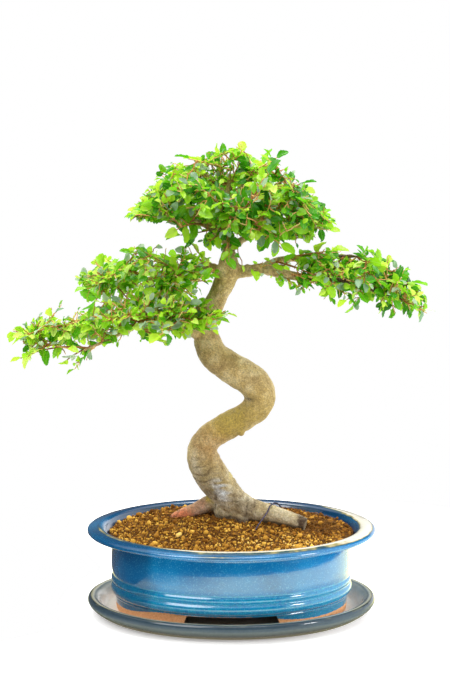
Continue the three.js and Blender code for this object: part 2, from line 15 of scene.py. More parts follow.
import bpy
import numpy as np
from bpy.types import AreaLight, Camera, Material, Mesh, Node, NodeSocket, NodeTree, Object
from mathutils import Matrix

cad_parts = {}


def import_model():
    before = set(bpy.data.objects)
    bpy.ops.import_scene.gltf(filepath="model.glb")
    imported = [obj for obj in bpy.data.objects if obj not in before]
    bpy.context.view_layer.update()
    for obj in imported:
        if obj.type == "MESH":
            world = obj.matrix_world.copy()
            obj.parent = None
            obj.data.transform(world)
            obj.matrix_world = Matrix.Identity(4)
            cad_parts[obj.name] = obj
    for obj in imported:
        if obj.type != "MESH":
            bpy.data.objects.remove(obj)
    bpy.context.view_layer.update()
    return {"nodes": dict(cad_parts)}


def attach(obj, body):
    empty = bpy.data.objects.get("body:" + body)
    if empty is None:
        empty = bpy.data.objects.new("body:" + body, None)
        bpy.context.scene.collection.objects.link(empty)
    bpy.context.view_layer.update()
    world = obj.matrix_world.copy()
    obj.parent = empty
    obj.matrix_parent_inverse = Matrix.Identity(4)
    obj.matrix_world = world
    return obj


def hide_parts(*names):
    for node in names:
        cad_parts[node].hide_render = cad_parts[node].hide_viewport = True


LOG = logging.getLogger("bonsai")
Array = np.ndarray
Faces = list[np.ndarray]
Inputs = dict[str | int, object]
Stops = Sequence[tuple[float, str]]
MM = 0.001
ROOT_BODY = "root"
FLOOR_SIDES = 128
IMAGE = (450, 675)  # the picture's width and height in pixels


class Slot(Enum):
    """Material slot names, which nothing in this script uses."""

    TRAY = "tray_glaze"
    POT = "pot_glaze"
    SOIL = "soil"
    BARK = "bark"
    WIRE = "wire"
    LEAF = "leaf"


# Numbers and curves.


def chance(n: Array | float) -> Array | float:
    """An even scatter from 0 to 1 that is the same in every run: the fraction of a large sine.

    Args:
        n: one number or an array of them.

    Returns:
        The scattered value of each number.
    """
    s = np.sin(n * 12.9898 + 4.1414) * 43758.5453
    return s - np.floor(s)


def unit(v: Array) -> Array:
    """Each vector of the last axis at length one."""
    return v / np.maximum(np.linalg.norm(v, axis=-1, keepdims=True), 1e-12)


def circle(sides: int) -> Array:
    """Even angles round a ring, without the last."""
    return np.linspace(0, 2 * math.pi, sides, endpoint=False)


def ease(x: Array, low: float, high: float) -> Array:
    """A smooth step: 0 where x is at low, 1 where it is at high."""
    t = np.clip((x - low) / (high - low), 0, 1)
    return t * t * (3 - 2 * t)


def catmull(points: Array, t: Array) -> Array:
    """A Catmull-Rom curve: cubics that pass each point along the line between its neighbours.

    Args:
        points: the points that the curve passes, one a row.
        t: shares of the way from the first point to the last.

    Returns:
        The curve's place at each share.
    """
    spans = len(points) - 1
    along = np.clip(t, 0, 1) * spans
    k = np.minimum(np.floor(along).astype(int), spans - 1)
    w = (along - k)[:, None]
    ends = np.vstack([2 * points[0] - points[1], points, 2 * points[-1] - points[-2]])
    p0, p1, p2, p3 = ends[k], ends[k + 1], ends[k + 2], ends[k + 3]
    a, b = 0.5 * (p2 - p0), 0.5 * (p3 - p1)
    return p1 + w * (a + w * (3 * (p2 - p1) - 2 * a - b + w * (2 * (p1 - p2) + a + b)))


def wobble(places: Array, size: float, seed: int = 0) -> Array:
    """Value noise from -1 to 1: a scattered number at each corner of a grid, blended between corners.

    Args:
        places: where the noise is read, one place a row.
        size: the grid's cell in the same unit as the places.
        seed: another whole number gives another scatter.

    Returns:
        The noise at each place.
    """
    scaled = places / size
    cell = np.floor(scaled).astype(np.int64)
    part = scaled - cell
    part = part * part * (3 - 2 * part)
    total = np.zeros(len(places))
    for corner in np.ndindex(2, 2, 2):
        at = cell + np.array(corner)
        mixed = (at[:, 0] * 374761393 + at[:, 1] * 668265263 + at[:, 2] * 1274126177 + seed * 974711) & 0xFFFFFFFF
        mixed = ((mixed ^ (mixed >> 13)) * 1103515245) & 0xFFFFFFFF
        value = ((mixed ^ (mixed >> 16)) & 0xFFFF) / 0xFFFF
        total += value * np.where(np.array(corner), part, 1 - part).prod(1)
    return 2 * total - 1


def closest(a: Array, b: Array) -> Array:
    """How far each place of a is from the nearest place of b."""
    return np.sqrt(((a[:, None] - b[None]) ** 2).sum(-1).min(1))


# Meshes.


def grid_faces(rows: int, columns: int, wrapped: bool = True) -> Array:
    """The four-sided faces of a grid of vertices numbered row by row.

    Args:
        rows: rows of vertices.
        columns: vertices in a row.
        wrapped: whether the last column joins the first.

    Returns:
        One face a row, as four vertex numbers.
    """
    i = np.arange(rows - 1)[:, None] * columns
    j = np.arange(columns if wrapped else columns - 1)[None]
    k = (j + 1) % columns
    return np.stack([i + j, i + k, i + columns + k, i + columns + j], -1).reshape(-1, 4)


def tube_faces(rings: int, sides: int) -> Faces:
    """The faces of a closed tube: rings of vertices, then its first and its last pole.

    Args:
        rings: rings of vertices.
        sides: vertices in a ring.

    Returns:
        The grid of the wall, then the triangles at each pole.
    """
    j = np.arange(sides)
    k = (j + 1) % sides
    first, last = rings * sides, rings * sides + 1
    top = (rings - 1) * sides
    start = np.stack([k, j, np.full(sides, first)], -1)
    end = np.stack([top + j, top + k, np.full(sides, last)], -1)
    return [grid_faces(rings, sides), start, end]


def repeated(faces: Faces, count: int, vertices: int) -> Faces:
    """The faces of count copies of a shape whose vertices follow one another."""
    shift = (np.arange(count) * vertices)[:, None, None]
    return [(f[None] + shift).reshape(-1, f.shape[1]) for f in faces]


def sweep(lines: Array, radii: Array, sides: int, lumps: Array | None = None) -> Array:
    """Carries a circle along each of several lines that have the same number of places.

    Each ring stands square to its line. Its first direction is the one in which the line's places spread
    least, less its part along the line, so the rings don't twist.

    Args:
        lines: places, as [line, place, 3].
        radii: the circle's radius at each place, as [line, place].
        sides: vertices in a ring.
        lumps: a factor for each vertex's distance, as [line, place, side].

    Returns:
        Vertices for tube_faces, as [line, vertex, 3].
    """
    ahead = unit(np.gradient(lines, axis=1))
    spread = np.linalg.svd(lines - lines.mean(1, keepdims=True), full_matrices=False)[2]
    axis = spread[:, 2][:, None]
    across = unit(axis - ahead * (axis * ahead).sum(-1, keepdims=True))
    over = np.cross(ahead, across)
    turn = circle(sides)
    reach = radii[..., None] * (1 if lumps is None else lumps)
    ring = across[:, :, None] * np.cos(turn)[:, None] + over[:, :, None] * np.sin(turn)[:, None]
    body = (lines[:, :, None] + reach[..., None] * ring).reshape(len(lines), -1, 3)
    return np.concatenate([body, lines[:, :1], lines[:, -1:]], 1)


def oval(profile: Array, turn: Array, narrower: float, core: float) -> Array:
    """Turns a profile of [half length, height] about Z, its half depth smaller by a fixed amount.

    Args:
        profile: the profile's points, one a row.
        turn: the angle of each vertex of a ring.
        narrower: how much less the half depth is than the half length.
        core: the half length under which both grow alike, so that the middle stays a point.

    Returns:
        A ring of vertices for each point of the profile.
    """
    half = profile[:, :1]
    depth = np.where(half > core, half - narrower, half * (core - narrower) / core)
    height = np.repeat(profile[:, 1:], len(turn), 1)
    return np.stack([half * np.cos(turn), depth * np.sin(turn), height], -1).reshape(-1, 3)


def new_mesh(name: str, places: Array, faces: Faces) -> Mesh:
    """A mesh from places in millimetres and lists of faces, each list with its own number of corners.

    Args:
        name: the mesh's name.
        places: places in millimetres, one a row.
        faces: the faces by their vertices' numbers.

    Returns:
        The mesh.
    """
    mesh = bpy.data.meshes.new(name)
    corners = np.concatenate([f.ravel() for f in faces])
    sizes = np.concatenate([np.full(len(f), f.shape[1]) for f in faces])
    mesh.vertices.add(len(places))
    mesh.vertices.foreach_set("co", (places * MM).ravel())
    mesh.loops.add(len(corners))
    mesh.loops.foreach_set("vertex_index", corners.astype(np.int32))
    mesh.polygons.add(len(sizes))
    mesh.polygons.foreach_set("loop_start", np.concatenate([[0], np.cumsum(sizes)[:-1]]).astype(np.int32))
    mesh.update(calc_edges=True)
    return mesh


def put(name: str, data: Mesh | Camera | AreaLight) -> Object:
    """A new object that holds the data, in the scene.

    Args:
        name: the object's name.
        data: its mesh, light or camera.

    Returns:
        The object.
    """
    made = bpy.data.objects.new(name, data)
    bpy.context.collection.objects.link(made)
    return made


def make_piece(
    name: str, places: Array, faces: Faces, material: Material, stands_for: Sequence[str] = (),
    marks: dict[str, Array] | None = None, uv: Array | None = None, smooth: bool = True,
) -> Object:
    """Makes one visible piece and tells the frame what it rides on and stands for.

    Args:
        name: the piece's name.
        places: its vertices in millimetres.
        faces: lists of faces.
        material: its finish.
        stands_for: the frame's nodes that it hides.
        marks: named values for each vertex, which the finish reads.
        uv: a place on the finish's pattern for each vertex.
        smooth: whether its shading is smooth.

    Returns:
        The piece's object.
    """
    mesh = new_mesh(name, places, faces)
    for mark, values in (marks or {}).items():
        mesh.attributes.new(mark, "FLOAT", "POINT").data.foreach_set("value", values.astype(np.float32))
    if uv is not None:
        corner = np.concatenate([f.ravel() for f in faces])
        mesh.uv_layers.new(name="UVMap").data.foreach_set("uv", uv[corner].astype(np.float32).ravel())
    mesh.polygons.foreach_set("use_smooth", np.full(len(mesh.polygons), smooth))
    mesh.materials.append(material)
    return announce(put(name, mesh), stands_for)


def announce(piece: Object, stands_for: Sequence[str] = ()) -> Object:
    """Declares a piece to the frame and reports it.

    Args:
        piece: its object.
        stands_for: the frame's nodes that it hides.

    Returns:
        The same object.
    """
    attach(piece, ROOT_BODY)
    if stands_for:
        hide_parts(*stands_for)
    LOG.info("%s: %d faces", piece.name, len(piece.data.polygons))
    return piece


# Finishes.


def linear(code: str) -> tuple[float, float, float, float]:
    """The linear colour of an sRGB hex code such as #a0b0c0.

    Args:
        code: six hex digits after a #.

    Returns:
        Red, green, blue and 1.
    """
    shares = [int(code[k : k + 2], 16) / 255 for k in (1, 3, 5)]
    red, green, blue = (s / 12.92 if s <= 0.04045 else ((s + 0.055) / 1.055) ** 2.4 for s in shares)
    return red, green, blue, 1.0


def per(size: float) -> float:
    """A pattern's scale on Object coordinates, which are in metres, for a feature of size millimetres."""
    return 1 / (size * MM)


def fit(node: Node, inputs: Inputs) -> None:
    """Sets or links a node's inputs.

    Args:
        node: the node.
        inputs: a value, a node (which gives its first output) or an output, for each input by name or number.
    """
    for key, value in inputs.items():
        if isinstance(value, Node):
            value = value.outputs[0]
        if isinstance(value, NodeSocket):
            node.id_data.links.new(value, node.inputs[key])
        else:
            node.inputs[key].default_value = value


def add(tree: NodeTree, kind: str, inputs: Inputs | None = None, stops: Stops = (), **settings: object) -> Node:
    """Adds a node with its settings, its inputs' values or links, and a colour ramp's stops.

    Args:
        tree: the nodes that it joins.
        kind: the node's type, without ShaderNode.
        inputs: as fit takes them.
        stops: a colour ramp's places and hex colours.
        settings: the node's own properties.

    Returns:
        The new node.
    """
    node = tree.nodes.new(f"ShaderNode{kind}")
    for key, value in settings.items():
        setattr(node, key, value)
    fit(node, inputs or {})
    for k, (place, code) in enumerate(stops):
        ramp = node.color_ramp.elements
        stop = ramp[k] if k < 2 else ramp.new(place)
        stop.position, stop.color = place, linear(code)
    return node


@dataclass(frozen=True)
class Finish:
    """A material of one shader; each kind of finish adds its own pattern.

    Attributes:
        name: what the real material is called.
        roughness: of the plain surface.
        ior: of its outermost layer.
    """

    name: str
    roughness: float
    ior: float

    def material(self) -> Material:
        """The finished material.

        Returns:
            The material.
        """
        made = bpy.data.materials.new(self.name)
        made.use_nodes = True
        tree = made.node_tree
        shader = tree.nodes["Principled BSDF"]
        place = add(tree, "TexCoord").outputs["Object"]
        fit(shader, {"Roughness": self.roughness, "IOR": self.ior, **self.dress(tree, place)})
        return made

    def dress(self, tree: NodeTree, place: NodeSocket) -> Inputs:
        """Makes the finish's own pattern.

        Args:
            tree: the material's nodes.
            place: Object coordinates.

        Returns:
            What goes into the shader's inputs.
        """
        raise NotImplementedError


@dataclass(frozen=True)
class PotGlaze(Finish):
    """Cobalt glaze, poured and fired over terracotta stoneware.

    The eye sees a deep wet blue that turns turquoise where the glaze pooled, cream or olive on thin edges,
    and dusty orange clay where the foot was wiped bare. The cream at the front and right end of the lip is
    partly a painted reflection. The navy inside the lip, over its back and at the wall's left end, and the
    near-black under the pot, are painted shade.
    """

    def dress(self, tree: NodeTree, place: NodeSocket) -> Inputs:
        """Lays colours over one another by the marks pool, deep (painted shade), edge (thin glaze, partly a painted
        reflection), bare and damp (painted shade under the pot), each broken by noise.

        Args:
            tree: the material's nodes.
            place: Object coordinates.

        Returns:
            What goes into the shader's inputs.
        """
        names = ("pool", "deep", "edge", "bare", "damp")
        pool, deep, edge, bare, damp = (add(tree, "Attribute", attribute_name=name).outputs["Fac"] for name in names)
        cloud = add(tree, "TexNoise", {"Vector": place, "Scale": per(34), "Detail": 4.0})
        blue = add(tree, "ValToRGB", {"Fac": cloud}, [(0.3, "#005c90"), (0.7, "#0076ac"), (0.5, "#0069a0")])
        # runs of 2.6 mm where the glaze is thick, and the fine light speckle of the cobalt, 1.1 mm
        run = add(tree, "TexNoise", {"Vector": place, "Scale": per(2.6), "Detail": 3.0, "Roughness": 0.65})
        pooled = add(tree, "Math", {0: pool, 1: run}, operation="MULTIPLY")
        pooled = add(tree, "MapRange", {"Value": pooled, "From Min": 0.28, "From Max": 0.58})
        speck = add(tree, "TexNoise", {"Vector": place, "Scale": per(1.1), "Detail": 2.0})
        fleck = add(tree, "MapRange", {"Value": speck, "From Min": 0.54, "From Max": 0.76, "To Max": 0.6})
        # where the glaze drew back it is thin, and its cream at the lip's front and right end is partly a painted
        # reflection: noise of 9 mm makes the border uneven
        drawn = add(tree, "TexNoise", {"Vector": place, "Scale": per(9), "Detail": 5.0})
        drawn = add(tree, "MapRange", {"Value": drawn, "To Min": -0.25, "To Max": 0.25})
        drawn = add(tree, "Math", {0: drawn, 1: edge}, operation="ADD")
        thin_glaze = [(0.26, "#123c5c"), (0.72, "#f0ecdc"), (0.42, "#3f5f64"), (0.52, "#a79a62")]
        thin = add(tree, "ValToRGB", {"Fac": drawn}, thin_glaze)
        shown = add(tree, "MapRange", {"Value": edge, "From Min": 0.12, "From Max": 0.42})
        clay = add(tree, "ValToRGB", {"Fac": speck}, [(0.3, "#cc8c55"), (0.75, "#ebb384")])
        # the glaze ends above the foot in an uneven line
        line = add(tree, "MapRange", {"Value": run, "To Min": -0.2, "To Max": 0.2})
        line = add(tree, "Math", {0: line, 1: bare}, operation="ADD")
        foot = add(tree, "MapRange", {"Value": line, "From Min": 0.47, "From Max": 0.53})
        layers = (
            # the navy layer is painted shade: inside the lip, over the back of the lip's top and at the wall's left
            # end
            (pooled, linear("#0482a6")), (fleck, linear("#58aed0")), (deep, linear("#04264a")), (shown, thin),
            # the near-black layer is painted shade under the pot and inside its foot ring
            (foot, clay), (damp, linear("#1c120c")),
        )
        colour = blue.outputs["Color"]
        for share, over in layers:
            colour = add(tree, "Mix", {0: share, 6: colour, 7: over}, data_type="RGBA").outputs[2]
        # the slight ripple of a poured glaze, 5 mm across, which breaks up the borders of reflections
        ripple = add(tree, "TexNoise", {"Vector": place, "Scale": per(5), "Detail": 5.0, "Roughness": 0.65})
        return {
            "Base Color": colour,
            "Roughness": add(tree, "MapRange", {"Value": foot, "To Min": self.roughness, "To Max": 0.85}),
            "Normal": add(tree, "Bump", {"Height": ripple, "Strength": 0.3, "Distance": 0.6 * MM}),
            "Coat Weight": add(tree, "Math", {0: 1.0, 1: foot}, operation="SUBTRACT"), "Coat IOR": self.ior,
            "Coat Roughness": self.roughness,
        }


@dataclass(frozen=True)
class TrayGlaze(Finish):
    """Iron glaze, dipped and fired on stoneware.

    The eye sees smoky grey-blue outside, one thin olive line where it breaks on the rim, and pale cream in
    the well; the rim and the well are glossy, and the wiped outside is duller. The warm light tone at the foot is
    a painted reflection of the floor, the cream line on the rim beside the olive is a painted highlight, and the
    well's near-white is partly a painted reflection.
    """

    def dress(self, tree: NodeTree, place: NodeSocket) -> Inputs:
        """Colours by the mark edge, which runs from the outside (0) over the rim (0.5) to the well (1).

        Args:
            tree: the material's nodes.
            place: Object coordinates.

        Returns:
            What goes into the shader's inputs.
        """
        edge = add(tree, "Attribute", attribute_name="edge").outputs["Fac"]
        cloud = add(tree, "TexNoise", {"Vector": place, "Scale": per(18), "Detail": 5.0})
        shift = add(tree, "MapRange", {"Value": cloud, "To Min": -0.035, "To Max": 0.035})
        shift = add(tree, "Math", {0: shift, 1: edge}, operation="ADD")
        # the warm light tone at the foot is a painted reflection of the floor; after the olive line, the cream on the
        # rim is a painted highlight and the near-white well partly a painted reflection
        outside = [(0.08, "#424445"), (0.2, "#4f5655"), (0.3, "#5a6260"), (0.4, "#43505a"), (0.5, "#2c3d47")]
        rim = [(0.555, "#8f8b5e"), (0.6, "#cbc8b6"), (0.64, "#6f7c7e"), (0.7, "#b9b8ac"), (0.78, "#f2ede0")]
        tone = add(tree, "ValToRGB", {"Fac": shift}, [(0.0, "#5a524e"), (1.0, "#fbf6ea"), *outside, *rim])
        # streaks of 2.2 mm in the thickness of the glaze
        streak = add(tree, "TexNoise", {"Vector": place, "Scale": per(2.2), "Detail": 3.0})
        dark = add(tree, "MapRange", {"Value": streak, "To Min": 0.8, "To Max": 1.15})
        return {
            "Base Color": add(tree, "VectorMath", {0: tone, "Scale": dark}, operation="SCALE"),
            "Normal": add(tree, "Bump", {"Height": cloud, "Strength": 0.1, "Distance": 0.5 * MM}),
            "Specular IOR Level": 0.22,
            "Coat Weight": add(tree, "MapRange", {"Value": edge, "From Min": 0.42, "From Max": 0.52}),
            "Coat Roughness": 0.05,
        }


@dataclass(frozen=True)
class Bark(Finish):
    """Living elm bark: thin dry cork over grey.

    The eye sees tan and olive stippled light and dark, grey and wrinkled at the foot, with yellow lichen,
    raised pores, and edges that catch light. A pale patch on the foot is a painted highlight, a faint pink under
    the lower bend is a painted reflection, and the wrinkles, the cut root's end and the line along the soil are
    darkened with painted shade.
    """

    def dress(self, tree: NodeTree, place: NodeSocket) -> Inputs:
        """Lays colours over one another by marks: grey, olive, lichen, worn (a painted highlight), a flush that
        carries a painted pink reflection, and dark (partly painted shade).

        Args:
            tree: the material's nodes.
            place: Object coordinates.

        Returns:
            What goes into the shader's inputs.
        """
        patch = add(tree, "TexNoise", {"Vector": place, "Scale": per(13), "Detail": 6.0, "Roughness": 0.62})
        grain = add(tree, "TexNoise", {"Vector": place, "Scale": per(2.4), "Detail": 6.0, "Roughness": 0.8})
        tan = add(tree, "ValToRGB", {"Fac": patch}, [(0.32, "#8e7140"), (0.7, "#dcc998"), (0.5, "#ba9f66")])
        grey = add(tree, "ValToRGB", {"Fac": patch}, [(0.32, "#7e7056"), (0.7, "#dcd6c2"), (0.5, "#aea186")])
        # worn is a painted highlight, the salmon flush also carries a painted pink reflection, and dark is partly
        # painted shade
        layers = (
            ("grey", grey), ("olive", linear("#b39a48")), ("lichen", linear("#c4b045")),
            ("worn", linear("#d9dcdd")), ("flush_and_reflection", linear("#e07e54")), ("dark", linear("#3a2416")),
        )
        colour = tan.outputs["Color"]
        for name, over in layers:
            spread = add(tree, "Attribute", attribute_name=name).outputs["Fac"]
            spread = add(tree, "Math", {0: spread, 1: grain}, operation="MULTIPLY")
            spread = add(tree, "Math", {0: spread, 1: 1.8}, operation="MULTIPLY", use_clamp=True)
            colour = add(tree, "Mix", {0: spread, 6: colour, 7: over}, data_type="RGBA").outputs[2]
        # the stipple of cork and pores, 1.3 mm
        stipple = add(tree, "TexNoise", {"Vector": place, "Scale": per(1.3), "Detail": 3.0, "Roughness": 0.7})
        both = add(tree, "Math", {0: stipple, 1: grain}, operation="ADD")
        spots = {"Value": both, "From Min": 0.72, "From Max": 1.28, "To Min": 0.46, "To Max": 1.5}
        speck = add(tree, "MapRange", spots)
        pore = add(tree, "TexVoronoi", {"Vector": place, "Scale": per(3.2)})
        height = add(tree, "Math", {0: both, 1: pore}, operation="SUBTRACT")
        # the sheen is the dusty skin, which catches light at the edges
        return {
            "Base Color": add(tree, "VectorMath", {0: colour, "Scale": speck}, operation="SCALE"),
            "Normal": add(tree, "Bump", {"Height": height, "Strength": 0.75, "Distance": 0.9 * MM}),
            "Sheen Weight": 0.75, "Sheen Roughness": 0.4, "Sheen Tint": linear("#f4e8c0"),
        }


@dataclass(frozen=True)
class LeafSkin(Finish):
    """A living leaf with its waxy skin.

    The eye sees fresh greens from deep to lime with a soft gloss, light that comes through from behind, and
    a pale midrib with side veins.

    Attributes:
        through: the share of light that comes through the blade.
    """

    through: float = 0.35

    def material(self) -> Material:
        """The shader's surface mixed with the light that comes through.

        Returns:
            The material.
        """
        made = super().material()
        tree = made.node_tree
        shader = tree.nodes["Principled BSDF"]
        light = add(tree, "BsdfTranslucent", {"Color": shader.inputs["Base Color"].links[0].from_socket})
        both = add(tree, "MixShader", {0: self.through, 1: shader, 2: light})
        fit(tree.nodes["Material Output"], {"Surface": both})
        return made

    def dress(self, tree: NodeTree, place: NodeSocket) -> Inputs:
        """Greens by the mark tone, from dark (0) over a lime one (0.85) to a pale greyish one (1) that stands for a
        painted sheen, and veins.

        The blade's own UV map runs along it and across. A vein is the peak of a sine of the place along less
        0.7 of the place out, so that nine pairs slant towards the tip.

        Args:
            tree: the material's nodes.
            place: Object coordinates, which it doesn't use.

        Returns:
            What goes into the shader's inputs.
        """
        # the pale greyish stops from 0.92 up stand for a painted sheen
        greens = [(0.0, "#166800"), (1.0, "#cfe2c6"), (0.22, "#349004"), (0.42, "#5cb40a"), (0.6, "#98d81e")]
        limes = [(0.78, "#c2f032"), (0.88, "#dcfa6c"), (0.92, "#6f9c72")]
        mark = add(tree, "Attribute", attribute_name="tone").outputs["Fac"]
        tone = add(tree, "ValToRGB", {"Fac": mark}, greens + limes)
        split = add(tree, "SeparateXYZ", {"Vector": add(tree, "TexCoord").outputs["UV"]})
        out = add(tree, "Math", {0: split.outputs["Y"], 1: 0.5}, operation="SUBTRACT")
        out = add(tree, "Math", {0: out}, operation="ABSOLUTE")
        rib = add(tree, "MapRange", {"Value": out, "From Min": 0.05, "From Max": 0.0})
        slant = add(tree, "Math", {0: out, 1: -0.7, 2: split.outputs["X"]}, operation="MULTIPLY_ADD")
        wave = add(tree, "Math", {0: slant, 1: 2 * math.pi * 9}, operation="MULTIPLY")
        wave = add(tree, "Math", {0: wave}, operation="SINE")
        vein = add(tree, "MapRange", {"Value": wave, "From Min": 0.8, "From Max": 1.0, "To Max": 0.5})
        line = add(tree, "Math", {0: rib, 1: vein}, operation="MAXIMUM")
        faint = add(tree, "Math", {0: line, 1: 0.4}, operation="MULTIPLY")
        colour = add(tree, "Mix", {0: faint, 6: tone, 7: linear("#b8d878")}, data_type="RGBA")
        bump = add(tree, "Bump", {"Height": line, "Strength": 0.3, "Distance": 0.25 * MM}, invert=True)
        return {"Base Color": colour.outputs[2], "Normal": bump}


@dataclass(frozen=True)
class Scattered(Finish):
    """A rough natural surface, such as crumbs, humus or a young twig's bark.

    The eye sees every crumb or twig in a tone of its own, by the mark tone, dry and matt with a fine grain.

    Attributes:
        tones: hex colours, evenly spaced from tone 0 to tone 1.
        grain: the grain's size in millimetres.
        depth: the grain's depth in millimetres.
    """

    tones: tuple[str, ...] = ("#000000", "#ffffff")
    grain: float = 0.8
    depth: float = 0.3

    def dress(self, tree: NodeTree, place: NodeSocket) -> Inputs:
        """A ramp of the tones, shaded and raised by the grain.

        Args:
            tree: the material's nodes.
            place: Object coordinates.

        Returns:
            What goes into the shader's inputs.
        """
        last = len(self.tones) - 1
        stops = [(k / last, self.tones[k]) for k in (0, last, *range(1, last))]
        mark = add(tree, "Attribute", attribute_name="tone").outputs["Fac"]
        tone = add(tree, "ValToRGB", {"Fac": mark}, stops)
        grit = add(tree, "TexNoise", {"Vector": place, "Scale": per(self.grain), "Detail": 3.0})
        speck = add(tree, "MapRange", {"Value": grit, "To Min": 0.6, "To Max": 1.4})
        return {
            "Base Color": add(tree, "VectorMath", {0: tone, "Scale": speck}, operation="SCALE"),
            "Normal": add(tree, "Bump", {"Height": grit, "Strength": 0.6, "Distance": self.depth * MM}),
        }


@dataclass(frozen=True)
class Drawn(Finish):
    """A drawn or moulded surface, such as wire or net.

    The eye sees one even dark colour, faintly worn, with fine lines and a satin gleam.

    Attributes:
        code: its hex colour.
        metallic: 1 for bare metal.
    """

    code: str = "#808080"
    metallic: float = 0.0

    def dress(self, tree: NodeTree, place: NodeSocket) -> Inputs:
        """A faint unevenness of 3 mm in colour and 0.5 mm in height.

        Args:
            tree: the material's nodes.
            place: Object coordinates.

        Returns:
            What goes into the shader's inputs.
        """
        wear = add(tree, "TexNoise", {"Vector": place, "Scale": per(3), "Detail": 3.0})
        scale = add(tree, "MapRange", {"Value": wear, "To Min": 0.7, "To Max": 1.3})
        line = add(tree, "TexNoise", {"Vector": place, "Scale": per(0.5)})
        return {
            "Base Color": add(tree, "VectorMath", {0: linear(self.code)[:3], "Scale": scale}, operation="SCALE"),
            "Normal": add(tree, "Bump", {"Height": line, "Strength": 0.2, "Distance": 0.1 * MM}),
            "Metallic": self.metallic,
        }


# Pot and tray.

OVAL_SIDES = 256


@dataclass
class DripTray:
    """The oval tray under the pot, in millimetres."""

    length: float = 250
    depth: float = 180
    height: float = 16.5
    floor: float = 4.7
    foot: float = 226

    def build(self, glaze: Material) -> None:
        """A profile from under the middle, round the rolled rim and over the well, turned to an oval.

        Args:
            glaze: its finish.
        """
        half, foot = self.length / 2, self.foot / 2
        keys = np.array(
            [
                [0, 0], [foot * 0.5, 0], [foot - 28, 0], [foot - 14, 0], [foot - 7, 0], [foot - 3.5, 0.1],
                [foot - 0.5, 0.9], [half - 6.5, 4.6], [half - 2.4, 8.2], [half - 0.4, 11.2], [half, 13],
                [half - 0.7, 15.2], [half - 2.6, self.height], [half - 6, self.height - 0.4],
                [half - 9, self.height - 1.9], [half - 11.2, self.height - 5.5], [half - 13, 7.4],
                [half - 15.4, self.floor + 0.4], [half - 20, self.floor], [half - 27, self.floor],
                [half - 40, self.floor], [half - 70, self.floor], [0, self.floor],
            ]
        )
        profile = np.vstack([catmull(keys, np.linspace(0, 1, 5 * len(keys)))[:-1], keys[-1:]])
        profile[:, 0] = np.maximum(profile[:, 0], 0)
        profile[:, 1] = np.clip(profile[:, 1], 0, self.height)
        profile[0], profile[-1] = keys[0], keys[-1]
        turn = circle(OVAL_SIDES)
        places = oval(profile[1:-1], turn, (self.length - self.depth) / 2, foot - 12)
        poles = np.array([[0, 0, 0], [0, 0, self.floor]])
        rings = len(profile) - 2
        top = int(profile[:, 1].argmax()) - 1
        edge = np.where(np.arange(rings) < top, 0.5 * ease(profile[1:-1, 1], 2, self.height), 0)
        inward = np.clip((half - profile[1:-1, 0]) / 22, 0, 1)
        edge = np.where(np.arange(rings) < top, edge, 0.5 + 0.5 * inward)
        marks = {"edge": np.concatenate([np.repeat(edge, OVAL_SIDES), [0, 1]])}
        make_piece(
            "drip_tray_glazed", np.vstack([places, poles]), tube_faces(rings, OVAL_SIDES), glaze,
            ["drip_tray"], marks,
        )


